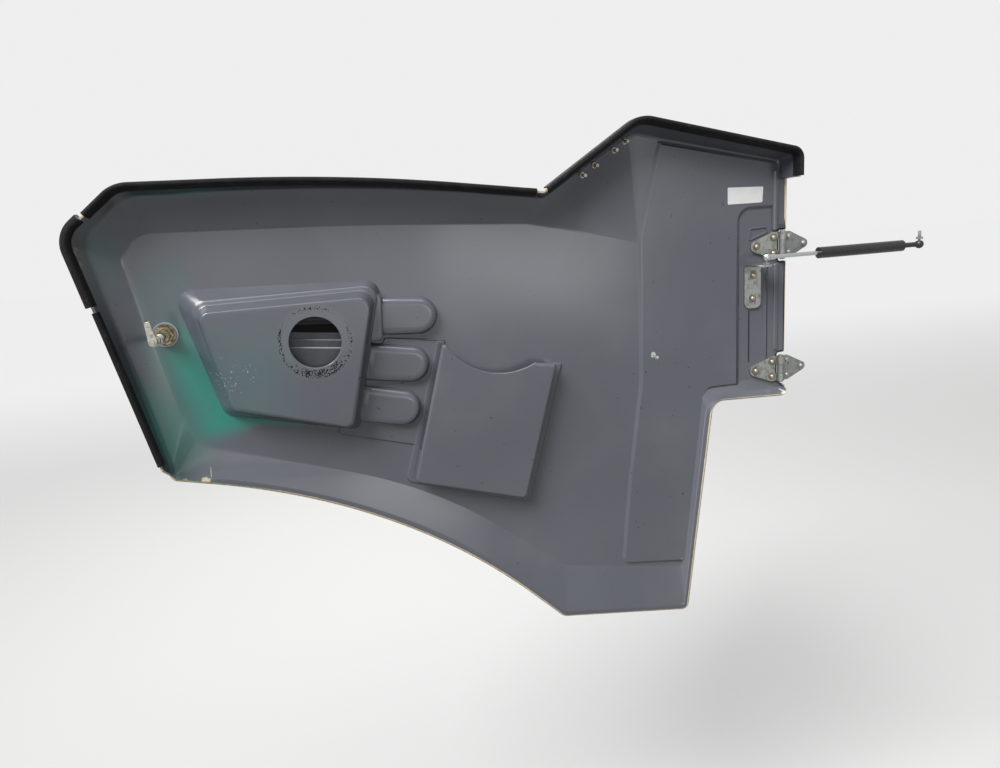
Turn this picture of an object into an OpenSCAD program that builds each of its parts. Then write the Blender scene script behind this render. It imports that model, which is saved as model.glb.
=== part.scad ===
// Engine compartment side door of an asphalt paver, standing open at a right angle.
// X runs towards the machine, Y away from the viewer of the inner face, Z up.
// The origin lies on the post's face, midway between the outer holes of the two fixed hinge leaves.
// Outlines are written in X and Z from the hinge pin's axis, with Z = 0 midway between the hinges.

/* [Shell] */
// Thickness of the moulded laminate
laminate = 5; // [4:0.5:7]
// How far the sealed rim stands proud of the field, towards the machine
rim_depth = 45; // [35:1:60]
// How far the lower lip stands proud of the field
lip_depth = 15; // [10:1:20]
// How far the rim's inner bend stands proud of the field
bend_depth = 31; // [22:1:34]
// Thickness of the doubler on the hinge side
doubler_t = 4; // [3:0.5:6]

/* [Hinges] */
// Distance between the middles of the two hinges
hinge_pitch = 252; // [200:2:300]
// Height of a hinge at its knuckle
hinge_h = 52; // [44:1:60]
// Radius of the knuckle
knuckle_r = 7; // [6:0.5:9]
// Radius of the hinge pin
pin_r = 4; // [3:0.25:5]
// Thickness of the leaves
leaf_t = 4; // [3:0.5:5]
// Distance from the pin to the outer hole of the door leaf
door_reach = 55; // [45:1:65]
// Distance from the pin to the outer hole of the fixed leaf
fixed_reach = 49; // [42:1:60]
// Distance from the pin to the two inner holes of the door leaf
door_inner_reach = 18; // [16:0.5:20]
// Distance from the pin to the two inner holes of the fixed leaf
fixed_inner_reach = 16; // [15:0.5:19]
// Distance between the two inner holes of a leaf
inner_holes = 31; // [28:1:36]
// Radius of the screw holes
screw_r = 3.3; // [2.5:0.1:4.2]

/* [Gas strut] */
// Radius of the strut's tube
tube_r = 11; // [9:0.5:14]
// Length of the tube
tube_l = 190; // [170:1:210]
// Radius of the piston rod
rod_r = 4; // [3:0.5:5]
// Distance from ball to ball when the door is open
strut_l = 342; // [330:1:350]
// Radius of the ball joints' balls
ball_r = 5; // [4:0.5:6]
// Radius of the ball studs' shanks
stud_r = 3; // [2.5:0.5:4]
// Thickness of the bracket's plate and tab
bracket_t = 4; // [3:0.5:5]
// Width of the bracket
bracket_w = 36; // [30:1:40]
// Length of the bracket's upright plate
bracket_l = 89; // [80:1:94]
// Height of the bracket's tab over the middle between the hinges
tab_z = 93; // [88:1:96]
// Height of the strut's line over the bracket's tab
strut_lift = 13.5; // [12:0.5:16]
// Wall of the strut's ball sockets
socket_wall = 3.5; // [3:0.25:5]
// Length of the fitting between the tube and its ball
fitting_l = 40; // [30:1:50]
// Free length of the rail stud's thread
thread_l = 12; // [8:1:20]
// Radius of the ball studs' nuts
nut_r = 7; // [6:0.5:9]
// Thickness of the ball studs' nuts
nut_t = 4; // [3:0.5:5]

/* [Latch] */
// Radius of the flange of the lock's body
latch_flange_r = 21; // [18:1:24]
// Radius of the lock's threaded barrel
latch_barrel_r = 11; // [9:0.5:13]
// Radius of the spindle
spindle_r = 6; // [4:0.5:7]
// Distance from the field to the middle of the cam lever
spindle_l = 88; // [70:1:95]
// Length of the cam lever between its two round ends
cam_l = 27; // [20:1:35]
// Width of the cam lever
cam_w = 15; // [12:1:18]
// Distance between the outer handle's two round ends
handle_l = 52; // [44:1:60]
// Width of the outer handle
handle_w = 14; // [12:1:18]
// Thickness of the outer handle
handle_t = 12; // [9:0.5:15]

/* [Air intake] */
// Radius of the duct's round port
port_r = 44.5; // [40:0.5:50]
// Height of the intake box over the field
box_h = 45; // [35:1:55]
// Wall of the intake box
box_wall = 4; // [3:0.5:6]
// Radius of the three recessed bays
bay_r = 34.5; // [30:0.5:36]
// Depth of the bays, towards the machine
bay_h = 15; // [10:1:20]
// Wall of the bays
bay_wall = 3; // [2.5:0.5:4]
// Height of the intake slot in each bay
slot_h = 22; // [14:1:30]

/* [Document pocket] */
// Height of the pocket's front over the field
pocket_h = 29; // [20:1:36]
// Wall of the pocket
pocket_wall = 4; // [3:0.5:5]
// Radius of the scoop in the pocket's upper edge
scoop_r = 126; // [110:1:135]

/* [Seals] */
// Height of the seal's bulb over the rim
bulb_h = 11.5; // [8:0.5:16]
// Thickness of the seal's clip beside the rim
clip_t = 3; // [2:0.5:5]
// How much thicker the bulky corner seal is
corner_extra = 5; // [2:0.5:7]
// Bare stretch of rim between two lengths of seal
seal_break = 10; // [6:1:16]
// Bare stretch beside the notch of the hump
valley_gap = 14; // [8:1:20]
// How far the top seal runs past the door's top corner
top_seal_past = 66; // [50:1:72]
// How far the corner seal runs down from the free corner
corner_leg = 118; // [100:1:130]
// Length of the flat side seal
side_seal_l = 276; // [240:1:290]

/* [Hidden] */
$fn = 48;

seat_gap = 0.3;                       // left between pieces that bear on curved or sloping faces
fit = 0.05;                           // radial clearance of pins, balls and the spindle
stud_play = 1.2;                      // radial clearance of the rod's stud in its bracket
field_y = knuckle_r;                  // the door's flat inner face, and the plane of both leaves' backs
outer_y = field_y + laminate;
doubler_y = field_y - doubler_t;
rim_y = field_y - rim_depth;
lip_y = field_y - lip_depth;
bend_y = field_y - bend_depth;
hinge_z = hinge_pitch / 2;
side_x = 13;                          // the door's hinge-side edge, just past the pin
rim_end_z = 252;                      // where the deep rim stops above the hinges
notch_x = -4;                         // how far in the edge is cut away at each hinge
notch_half = hinge_h / 2 + 6;
notch_low = [-hinge_z - hinge_h / 2, -hinge_z + notch_half];
notch_up = [hinge_z - notch_half, hinge_z + notch_half];

// The door's outline, anticlockwise as seen from its inner face.
// Columns: x, z, corner radius, y of the edge, turn of the edge from flat (0) to upright (90),
// width of the band to the inner bend, y of that bend, then x, z and radius of the field's own corner.
X = 0; Z = 1; RAD = 2; EDGE = 3; TURN = 4; BAND = 5; BEND = 6; FX = 7; FZ = 8; FRAD = 9;
OUTLINE = [
  [side_x + 1, -184,  14,   lip_y,   45, 14, field_y,   -40, -142, 2],     // tip below the lower hinge
  [side_x - 1, -163,  5,    lip_y + 6, 30, 5, field_y,  -38, -137, 1],
  [notch_x, notch_low[0], 4, field_y, 0, 3,  field_y,   -36, -132, 1],     // notch for the lower hinge
  [notch_x, notch_low[1], 4, field_y, 0, 3,  field_y,   -36, notch_low[1] + 3, 1],
  [side_x,  notch_low[1], 4, field_y, 0, 3,  field_y,   -34, notch_low[1] + 7, 1],
  [side_x,  notch_up[0], 4, field_y, 0,  3,  field_y,   -34, notch_up[0] - 7, 1],  // notch for the upper
  [notch_x, notch_up[0], 4, field_y, 0,  3,  field_y,   -36, notch_up[0] - 3, 1],
  [notch_x, notch_up[1], 4, field_y, 0,  3,  field_y,   -36, notch_up[1] + 3, 1],
  [side_x,  notch_up[1], 4, field_y, 0,  3,  field_y,   -34, notch_up[1] + 7, 1],
  [side_x,  rim_end_z, 1,   field_y, 0,  18, field_y,   -34, 210,  1],     // rim ends
  [side_x,  rim_end_z + 3, 1, rim_y, 90, 18, field_y,   -36, 216,  1],
  [side_x,  305,      22,   rim_y,   90, 20, field_y,   -60, 245,  8],     // hump, machine side
  [-311.5,  377.5,    55,   rim_y,   90, 24, field_y,   -300, 150, 4],     // hump's peak
  [-497,    258,      8,    rim_y,   90, 12, bend_y + 8, -520, 205, 20],   // notch beside the hump
  [-850,    304,      3500, rim_y,   90, 6,  bend_y,    -870, 222, 2600],  // long shallow top
  [-1200,   309,      60,   rim_y,   90, 6,  bend_y,    -1180, 230, 40],
  [-1290,   235,      45,   rim_y,   90, 6,  bend_y,    -1219, 192, 30],   // free end
  [-1204,   -168,     12,   rim_y,   90, 6,  bend_y,    -1176, -72, 20],
  [-1198,   -198,     16,   lip_y,   70, 13, lip_y + 8, -1142, -142, 20],  // lower corner of the free end
  [-796,    -295,     1200, lip_y,   60, 15, lip_y + 8, -735, -280, 900],  // long concave lower edge
  [-494,    -597,     25,   lip_y,   50, 16, lip_y + 8, -482, -490, 40],
  [-216,    -632,     14,   lip_y,   50, 16, lip_y + 8, -223, -536, 10],
  [-153,    -178,     25,   lip_y,   50, 18, field_y,   -176, -150, 12]    // cut-out below the hinges
];
// Rows of the outline that the seals run along.
END_OF_RIM = 10; HUMP_SIDE = 11; PEAK = 12; VALLEY = 13; TOP = 14; TOP_CORNER = 15; FREE_CORNER = 16;
arc_steps = 6;

// Corners of the doubler: x, z, radius.
DOUBLER = [[-229, -524, 8], [-185, -178, 20], [-170, -152, 20], [-92, -152, 4], [-92, 200, 24],
           [-7, 200, 4], [-7, 286, 14], [-257, 336, 4], [-302, 160, 10], [-306, -120, 300],
           [-336, -323, 400], [-357, -507, 16]];

// The intake box's outline at four depths: height over the field, then x, z and radius of each corner.
// Corners in turn: lower inner, upper inner, upper outer, lower outer.
BOX = [
  [0.00, [[-862, -150, 14], [-795, 122, 22], [-1150, 134, 26], [-1094, -94, 26]]],
  [0.52, [[-865, -144, 14], [-800, 117, 24], [-1122, 113, 24], [-1086, -85, 22]]],
  [0.60, [[-870, -138, 14], [-808, 108, 22], [-1114, 104, 20], [-1078, -80, 20]]],
  [0.93, [[-873, -134, 14], [-815, 99, 22],  [-1108, 96, 16],  [-1071, -77, 18]]],
  [1.00, [[-876, -131, 12], [-818, 96, 20],  [-1105, 93, 14],  [-1068, -74, 16]]]
];
port_at = [-921, 27];

// The three bays: x and z of the round outer end's middle, fall to the outside, length to the inner end's
// middle and length of the slot from there.
BAYS = [[-734.5, 52.5, 4, 250, 150], [-756.5, -35.5, 9, 188, 100], [-779.5, -116, 13, 146, 55]];

// The pocket: x and z of its front's corners, with the corner radius.
POCKET = [[-560, -322, 10], [-484, -61, 6], [-520, -55, 6], [-676, -4, 8], [-699, -2, 6], [-772, -258, 10]];
POCKET_FOOT = [[-547, -341, 14], [-466, -66, 12], [-704, 4, 10], [-785, -264, 14]];
scoop_at = [-583, 59];
latch_at = [-1170, 60];

ball_a = [-57, -36];                  // strut's ball on the door, beside the pin
ball_b = [ball_a[0] + strut_l, -36];  // strut's ball under the machine's rail
strut_z = tab_z + strut_lift;
socket_r = ball_r + socket_wall;

function unit(v) = v / norm(v);
function left_of(v) = [-v[1], v[0]];
function xz(row) = [row[X], row[Z]];

// Points of one rounded corner b between a and c; positive turns are to the left.
function corner(a, b, c, r, n) =
  let (d1 = unit(b - a), d2 = unit(c - b),
       turn = atan2(d1[0] * d2[1] - d1[1] * d2[0], d1 * d2),
       reach = max(r * tan(abs(turn) / 2), min(r, 1.2)))
  abs(turn) < 20
    ? [for (k = [0:n]) let (t = k / n)
        (b - d1 * reach) * pow(1 - t, 2) + b * 2 * t * (1 - t) + (b + d2 * reach) * t * t]
    : let (side = sign(turn), start = b - d1 * r * tan(abs(turn) / 2),
           centre = start + left_of(d1) * r * side, arm = start - centre)
      [for (k = [0:n]) let (t = turn * k / n)
        centre + [arm[0] * cos(t) - arm[1] * sin(t), arm[0] * sin(t) + arm[1] * cos(t)]];

// Moves corner i inwards by d, along the miter of its two edges.
function mitred(pts, i, d) =
  let (n = len(pts), n1 = left_of(unit(pts[i] - pts[(i + n - 1) % n])),
       n2 = left_of(unit(pts[(i + 1) % n] - pts[i])))
  pts[i] + (n1 + n2) / (1 + n1 * n2) * d;

function turn_side(pts, i) =
  let (n = len(pts), e1 = pts[i] - pts[(i + n - 1) % n], e2 = pts[(i + 1) % n] - pts[i])
  sign(e1[0] * e2[1] - e1[1] * e2[0]);

// A closed ring of 3D points from corners, radii and one y for each corner.
function ring(pts, radii, ys, n) =
  [for (i = [0:len(pts) - 1])
    for (p = corner(pts[(i + len(pts) - 1) % len(pts)], pts[i], pts[(i + 1) % len(pts)], radii[i], n))
      [p[0], ys[i], p[1]]];

// A ring that lies inside the outline by its own distance at each corner.
function inset_ring(pts, radii, insets, ys, n) =
  ring([for (i = [0:len(pts) - 1]) mitred(pts, i, insets[i])],
       [for (i = [0:len(pts) - 1]) max(1, radii[i] - turn_side(pts, i) * insets[i])], ys, n);

// A closed solid through rings with equal point counts, the first facing +Y. The second half of the
// bands folds along the same lines as the first, so that a shell keeps its wall.
module loft(rings) {
  n = len(rings[0]);
  count = len(rings);
  polyhedron(
    points = [for (r = rings) for (p = r) p],
    faces = concat(
      [[for (i = [0:n - 1]) i], [for (i = [n - 1:-1:0]) (count - 1) * n + i]],
      [for (k = [0:count - 2]) for (i = [0:n - 1])
        let (j = (i + 1) % n, a = k * n + i, b = k * n + j)
        each (2 * k < count - 2 ? [[a, a + n, b], [b, a + n, b + n]]
                                : [[a, b + n, b], [a, a + n, b + n]])]));
}

// A flat plate with rounded corners from y_low to y_high, drawn in X and Z.
module plate(corners, y_low, y_high) {
  pts = [for (c = corners) [c[0], c[1]]];
  n = len(pts);
  outline = [for (i = [0:n - 1])
    each corner(pts[(i + n - 1) % n], pts[i], pts[(i + 1) % n], corners[i][2], 6)];
  translate([0, y_high, 0]) rotate([90, 0, 0]) linear_extrude(y_high - y_low) polygon(outline);
}

// A round bar along Y.
module bar_y(x, z, r, y_low, y_high) {
  translate([x, y_high, z]) rotate([90, 0, 0]) cylinder(r = r, h = y_high - y_low);
}

// Places what is drawn from the hinge pin so that the post's face carries the origin.
module at_pin() {
  translate([-fixed_reach, -field_y, 0]) children();
}

corners_xz = [for (row = OUTLINE) xz(row)];
outline_r = [for (row = OUTLINE) row[RAD]];
field_xz = [for (row = OUTLINE) [row[FX], row[FZ]]];
field_r = [for (row = OUTLINE) row[FRAD]];

// Draws from the middle of a bay's outer end, with the bay running along -X.
module at_bay(bay) {
  translate([bay[0], field_y, bay[1]]) rotate([0, bay[2], 0]) children();
}

// The door's skin with its bands, rim, lip and hinge side, before the openings are cut.
module shell_blank() {
  loft([
    ring(field_xz, field_r, [for (row = OUTLINE) outer_y], arc_steps),
    inset_ring(corners_xz, outline_r,
               [for (row = OUTLINE) max(1, row[BAND] - laminate * tan(row[TURN] / 2))],
               [for (row = OUTLINE) row[BEND] + laminate], arc_steps),
    inset_ring(corners_xz, outline_r, [for (row = OUTLINE) 0],
               [for (row = OUTLINE) row[EDGE] + laminate * cos(row[TURN])], arc_steps),
    inset_ring(corners_xz, outline_r, [for (row = OUTLINE) laminate * sin(row[TURN])],
               [for (row = OUTLINE) row[EDGE]], arc_steps),
    inset_ring(corners_xz, outline_r, [for (row = OUTLINE) row[BAND]], [for (row = OUTLINE) row[BEND]],
               arc_steps),
    ring(field_xz, field_r, [for (row = OUTLINE) field_y], arc_steps)
  ]);
}

// A bay's inside as a flat outline, with X from its outer end.
module bay_opening(bay) {
  inner_r = bay_r - bay_wall;
  for (x = [-bay[3], 0]) translate([x, 0]) circle(inner_r);
  translate([-bay[3], -inner_r]) square([bay[3], 2 * inner_r]);
}

module door_shell() color([0.36, 0.37, 0.41]) at_pin() difference() {
  shell_blank();
  for (bay = BAYS) translate([0, laminate + 1, 0]) at_bay(bay)
    rotate([90, 0, 0]) linear_extrude(laminate + 2) bay_opening(bay);
  bar_y(latch_at[0], latch_at[1], latch_barrel_r + seat_gap, field_y - 1, outer_y + 1);
}

module hinge_doubler() color([0.38, 0.39, 0.43]) at_pin()
  plate(DOUBLER, doubler_y, field_y);

// A bay as a bump over the field, grown by d: drafted sides and a crown with a rounded edge.
module bay_bump(bay, d, h) {
  round_r = 9;
  draft = 2;
  crown_r = bay_r + d - draft - round_r;
  half = concat([[0, 0], [bay_r + d, 0]],
                [for (t = [0:22.5:90]) [crown_r + round_r * cos(t), h - round_r + round_r * sin(t)]],
                [[0, h]]);
  at_bay(bay) {
    for (x = [-bay[3], 0]) translate([x, 0, 0]) rotate([90, 0, 0]) rotate_extrude() polygon(half);
    translate([-bay[3], 0, 0]) rotate([90, 0, 90]) linear_extrude(bay[3])
      for (side = [-1, 1]) polygon([for (p = half) [-p[1], side * p[0]]]);
  }
}

module air_bays() color([0.37, 0.38, 0.42]) at_pin() {
  for (bay = BAYS) difference() {
    bay_bump(bay, 0, bay_h);
    translate([0, 1, 0]) bay_bump(bay, -bay_wall, bay_h - bay_wall + 1);
    at_bay(bay) translate([-bay[3], -bay_h - 1, -slot_h / 2]) cube([bay[4], bay_h, slot_h]);
  }
}

module box_rings_solid(inset, h, foot) {
  loft([for (row = BOX)
    inset_ring([for (c = row[1]) [c[0], c[1]]], [for (c = row[1]) c[2]], [inset, inset, inset, inset],
               [for (c = row[1]) field_y + foot - h * row[0] - foot * row[0]], arc_steps)]);
}

module intake_box() color([0.38, 0.39, 0.43]) at_pin() difference() {
  box_rings_solid(0, box_h, 0);
  box_rings_solid(box_wall, box_h - box_wall, 1);
  for (bay = BAYS) translate([0, 1, 0]) bay_bump(bay, 2 * seat_gap, bay_h + 1 + seat_gap);
  bar_y(port_at[0], port_at[1], port_r, field_y - box_h - 1, field_y - box_h + box_wall + 1);
}

module document_pocket() color([0.37, 0.38, 0.42]) at_pin() {
  front_y = field_y - pocket_h;
  difference() {
    plate(POCKET, front_y, field_y - 2);
    translate([0, pocket_wall, 0])
      plate([for (c = POCKET) [c[0] + (c[0] < -620 ? 1 : -1) * pocket_wall,
                               c[1] + (c[1] < -200 ? pocket_wall : 60), c[2] / 2]],
            front_y, field_y);
    bar_y(scoop_at[0], scoop_at[1], scoop_r, front_y - 1, front_y + pocket_wall + 1);
  }
  plate(POCKET_FOOT, field_y - 2, field_y);
}

// The turn of the outline at corner i, and the points where its rounding starts and ends.
function direction(i) = unit(corners_xz[(i + 1) % len(OUTLINE)] - corners_xz[i]);
function corner_turn(i) =
  let (d1 = direction(i - 1), d2 = direction(i)) atan2(d1[0] * d2[1] - d1[1] * d2[0], d1 * d2);

// A point at distance d past corner i, or at distance d before it.
function on_edge(i, d) = corners_xz[i] + direction(i) * d;
function before(i, d) = corners_xz[i] - direction(i - 1) * d;
function round_start(i) = corners_xz[i] - direction(i - 1) * outline_r[i] * tan(corner_turn(i) / 2);
function round_end(i) = corners_xz[i] + direction(i) * outline_r[i] * tan(corner_turn(i) / 2);

// A seal's section. Across: 0 at the rim's outer face, growing inwards. Along y: 0 at the rim's edge.
// extra thickens the outer leg, bulb is its height over the rim, lean follows the rim's slope, and
// slim takes a little off all round.
function section(extra, bulb, lean, slim = 0) =
  let (leg_out = 15 - slim, leg_in = 8 - slim, gap = seat_gap + slim, clip = clip_t - slim,
       top = bulb - slim, inner = laminate + seat_gap + gap, slope = inner + lean * leg_in)
  [[-clip - extra, leg_out], [-clip - extra, -0.3 * top], [-clip / 2 - extra / 2, -0.8 * top],
   [laminate / 2, -top], [laminate + clip / 2, -0.8 * top], [laminate + clip + seat_gap, -0.3 * top],
   [slope + clip - seat_gap - slim, leg_in], [slope, leg_in], [inner, -gap], [-gap, -gap],
   [-gap, leg_out]];

// The section along one straight stretch of rim from a to b; the rim's edge is at rim_y all the way.
module straight_seal(a, b, shape) {
  d = unit(b - a);
  translate([b[0], rim_y, b[1]]) rotate([0, atan2(-d[0], -d[1]), 0])
    linear_extrude(norm(b - a)) polygon(shape);
}

// The section around the rounding of corner i, which turns to the left.
module bent_seal(i, shape) {
  turn = corner_turn(i);
  r = outline_r[i];
  d = direction(i - 1);
  centre = round_start(i) + left_of(d) * r;
  translate([centre[0], rim_y, centre[1]]) rotate([90, 0, 0]) rotate([0, 0, atan2(-d[0], d[1])])
    rotate_extrude(angle = turn, $fn = max($fn, ceil(360 * arc_steps / turn)))
      polygon([for (p = shape) [r - p[0], -p[1]]]);
}

// A seal from start, around corners first to last, to end. Its bends are a touch slimmer than the
// straight stretches, which run a little way into them.
module seal(start, first, last, end, extra, bulb, lean) {
  weld = 0.2;
  whole = section(extra, bulb, lean);
  for (i = [first:last]) {
    straight_seal(i == first ? start : round_end(i - 1) - direction(i - 1) * weld,
                  round_start(i) + direction(i - 1) * weld, whole);
    bent_seal(i, section(extra, bulb, lean, weld / 2));
  }
  straight_seal(round_end(last) - direction(last) * weld, end, whole);
}

module seal_top() color([0.12, 0.12, 0.13]) at_pin()
  seal(on_edge(VALLEY, valley_gap), TOP, TOP_CORNER, on_edge(TOP_CORNER, top_seal_past),
       0, bulb_h, 0.36);

module seal_corner() color([0.12, 0.12, 0.13]) at_pin()
  seal(on_edge(TOP_CORNER, top_seal_past + seal_break), FREE_CORNER, FREE_CORNER,
       on_edge(FREE_CORNER, corner_leg), corner_extra, bulb_h, 0.1);

module seal_side() color([0.12, 0.12, 0.13]) at_pin()
  straight_seal(on_edge(FREE_CORNER, corner_leg + seal_break),
                on_edge(FREE_CORNER, corner_leg + seal_break + side_seal_l),
                section(-1, bulb_h / 2, 0.1));

module seal_hump() color([0.12, 0.12, 0.13]) at_pin()
  seal(on_edge(END_OF_RIM, 1), HUMP_SIDE, PEAK, before(VALLEY, valley_gap / 2),
       0, bulb_h, 0.4);

// A leaf that points along +X from the pin: pear-shaped, with two inner holes and an outer one.
module leaf(reach, inner_reach, tip_r) {
  difference() {
    translate([0, knuckle_r, 0]) rotate([90, 0, 0]) linear_extrude(leaf_t) hull() {
      translate([reach, 0]) circle(tip_r);
      for (side = [-1, 1]) {
        translate([inner_reach, side * (hinge_h / 2 - 8)]) circle(8);
        translate([knuckle_r + 3, side * (hinge_h / 2 - 3)]) circle(3);
      }
    }
    bar_y(reach, 0, screw_r, 0, knuckle_r + 1);
    for (side = [-1, 1]) bar_y(inner_reach, side * inner_holes / 2, screw_r, 0, knuckle_r + 1);
  }
}

// The knuckle from z_low to z_high with the web that joins it to its leaf.
module knuckle(z_low, z_high) {
  difference() {
    union() {
      translate([0, 0, z_low]) cylinder(r = knuckle_r, h = z_high - z_low);
      translate([0, knuckle_r - leaf_t, z_low]) cube([knuckle_r + 2, leaf_t, z_high - z_low]);
    }
    translate([0, 0, z_low - 1]) cylinder(r = pin_r + fit, h = z_high - z_low + 2);
  }
}

mid_h = 20;                           // height of the middle knuckle
knuckle_gap = 0.4;

module door_leaf(z) color([0.66, 0.68, 0.66]) at_pin() translate([0, 0, z]) mirror([1, 0, 0]) {
  difference() {
    leaf(door_reach, door_inner_reach, 12);
    translate([knuckle_r - 1, 0, -mid_h / 2 - 1]) cube([4, knuckle_r + 1, mid_h + 2]);
  }
  knuckle(mid_h / 2 + knuckle_gap, hinge_h / 2);
  knuckle(-hinge_h / 2, -mid_h / 2 - knuckle_gap);
}

module fixed_leaf(z) color([0.6, 0.62, 0.6]) at_pin() translate([0, 0, z]) {
  leaf(fixed_reach, fixed_inner_reach, 9);
  knuckle(-mid_h / 2, mid_h / 2);
}

module hinge_pin(z) color([0.7, 0.71, 0.7]) at_pin() translate([0, 0, z]) {
  translate([0, 0, -hinge_h / 2 - 1]) cylinder(r = pin_r, h = hinge_h + 2);
  for (end = [-1, 1])
    translate([0, 0, end * (hinge_h / 2 + 1 + seat_gap) - 1]) cylinder(r = pin_r + 1, h = 2);
}

module door_leaf_upper() door_leaf(hinge_z);
module door_leaf_lower() door_leaf(-hinge_z);
module fixed_leaf_upper() fixed_leaf(hinge_z);
module fixed_leaf_lower() fixed_leaf(-hinge_z);
module hinge_pin_upper() hinge_pin(hinge_z);
module hinge_pin_lower() hinge_pin(-hinge_z);

module strut_bracket() color([0.66, 0.66, 0.62]) at_pin() {
  round_r = 12;
  x_low = ball_a[0] - 5 - bracket_w / 2;
  x_high = x_low + bracket_w;
  plate([[x_high, tab_z - bracket_l, round_r], [x_high, tab_z, 0.5],
         [x_low, tab_z, 0.5], [x_low, tab_z - bracket_l, round_r]],
        field_y - bracket_t, field_y);
  difference() {
    translate([0, 0, tab_z - bracket_t]) linear_extrude(bracket_t) {
      translate([x_low, ball_a[1]]) square([bracket_w, field_y - bracket_t - ball_a[1]]);
      for (x = [x_low + round_r, x_high - round_r]) translate([x, ball_a[1]]) circle(round_r);
      translate([x_low + round_r, ball_a[1] - round_r]) square([bracket_w - 2 * round_r, round_r]);
    }
    translate([ball_a[0], ball_a[1], tab_z - bracket_t - 1])
      cylinder(r = stud_r + stud_play, h = bracket_t + 2);
  }
}

module latch_body() color([0.7, 0.68, 0.6]) at_pin() difference() {
  union() {
    bar_y(latch_at[0], latch_at[1], latch_flange_r, field_y - 3, field_y);
    bar_y(latch_at[0], latch_at[1], latch_barrel_r, field_y - 26, outer_y + 6);
    translate([latch_at[0], field_y - 4, latch_at[1]]) rotate([90, 0, 0]) cylinder(r = 16, h = 10, $fn = 6);
    bar_y(latch_at[0], latch_at[1], latch_flange_r, outer_y, outer_y + 4);
  }
  bar_y(latch_at[0], latch_at[1], spindle_r + fit, field_y - 30, outer_y + 10);
}

cam_t = 6;
module latch_spindle() color([0.72, 0.72, 0.68]) at_pin() {
  lever_y = field_y - spindle_l;
  bar_y(latch_at[0], latch_at[1], spindle_r, lever_y - cam_t / 2, outer_y + 8);
  translate([0, lever_y + cam_t / 2, 0]) rotate([90, 0, 0]) linear_extrude(cam_t) hull() {
    translate(latch_at) circle(cam_w / 2);
    translate(latch_at + [-3, cam_l]) circle(cam_w / 2 - 1);
  }
}

module latch_handle() color([0.2, 0.2, 0.21]) at_pin() {
  bar_y(latch_at[0], latch_at[1], latch_barrel_r, outer_y + 8, outer_y + 14);
  translate([0, outer_y + 13 + handle_t, 0]) rotate([90, 0, 0]) linear_extrude(handle_t) hull() {
    translate(latch_at + [0, handle_l / 2]) circle(handle_w / 2);
    translate(latch_at - [0, handle_l / 2]) circle(handle_w / 2);
  }
}

module strut_rod() color([0.75, 0.76, 0.78]) at_pin() translate([ball_a[0], ball_a[1], strut_z]) {
  difference() {
    union() {
      sphere(socket_r);
      rotate([0, 90, 0]) cylinder(r = rod_r, h = strut_l - tube_l);
      rotate([0, 90, 0]) cylinder(r = rod_r + 2, h = socket_r + 8);
    }
    sphere(ball_r + fit);
    translate([0, 0, -socket_r - 1]) cylinder(r = ball_r, h = socket_r + 1);
  }
}

module rod_ball_stud() color([0.7, 0.7, 0.68]) at_pin() translate([ball_a[0], ball_a[1], strut_z]) {
  sphere(ball_r);
  translate([0, 0, seat_gap - strut_lift]) cylinder(r = stud_r, h = strut_lift);
  translate([0, 0, seat_gap - strut_lift]) cylinder(r = nut_r, h = nut_t - 1, $fn = 6);
}

module strut_tube() color([0.08, 0.08, 0.09]) at_pin() translate([ball_b[0], ball_b[1], strut_z]) {
  difference() {
    union() {
      sphere(socket_r);
      rotate([0, -90, 0]) cylinder(r = rod_r + 1, h = fitting_l);
      translate([-fitting_l, 0, 0]) rotate([0, -90, 0]) cylinder(r = tube_r, h = tube_l - 1);
    }
    sphere(ball_r + fit);
    cylinder(r = ball_r, h = socket_r + 1);
    translate([-fitting_l - tube_l, 0, 0]) rotate([0, 90, 0]) cylinder(r = rod_r + fit, h = tube_l - 8);
  }
}

module rail_ball_stud() color([0.7, 0.7, 0.68]) at_pin() translate([ball_b[0], ball_b[1], strut_z]) {
  nut_z = socket_r + 2;
  sphere(ball_r);
  cylinder(r = stud_r - 0.5, h = nut_z + 1);
  translate([0, 0, nut_z]) cylinder(r = nut_r, h = nut_t, $fn = 6);
  translate([0, 0, nut_z + nut_t - 1]) cylinder(r = stud_r, h = thread_l + 1);
}

door_shell();
hinge_doubler();
intake_box();
air_bays();
document_pocket();
seal_top();
seal_corner();
seal_side();
seal_hump();
door_leaf_upper();
door_leaf_lower();
hinge_pin_upper();
hinge_pin_lower();
fixed_leaf_upper();
fixed_leaf_lower();
strut_bracket();
latch_body();
latch_spindle();
latch_handle();
strut_rod();
rod_ball_stud();
strut_tube();
rail_ball_stud();
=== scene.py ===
import math
import random
import bpy
import bmesh
import numpy as np
from mathutils import Matrix, Vector


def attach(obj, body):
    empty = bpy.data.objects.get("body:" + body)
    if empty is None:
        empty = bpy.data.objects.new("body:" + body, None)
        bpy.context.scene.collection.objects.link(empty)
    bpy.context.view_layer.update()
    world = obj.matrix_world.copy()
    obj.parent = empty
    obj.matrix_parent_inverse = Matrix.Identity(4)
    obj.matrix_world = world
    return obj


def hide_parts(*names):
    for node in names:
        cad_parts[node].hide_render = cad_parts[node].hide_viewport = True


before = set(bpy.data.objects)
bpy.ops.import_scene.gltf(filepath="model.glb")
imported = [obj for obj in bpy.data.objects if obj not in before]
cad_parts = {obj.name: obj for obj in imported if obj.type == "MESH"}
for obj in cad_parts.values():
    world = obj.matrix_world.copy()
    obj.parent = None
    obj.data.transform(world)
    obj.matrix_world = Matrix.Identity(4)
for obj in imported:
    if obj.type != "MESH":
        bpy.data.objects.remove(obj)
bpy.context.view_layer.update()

# Places are written as they are measured on the door: millimetres from the hinge pin,
# X towards the machine, Y away from the inner face, Z up.
PIN = np.array([-49.0, -7.0, 0.0])
FIELD = 7.0
OUTER = 12.0
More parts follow.
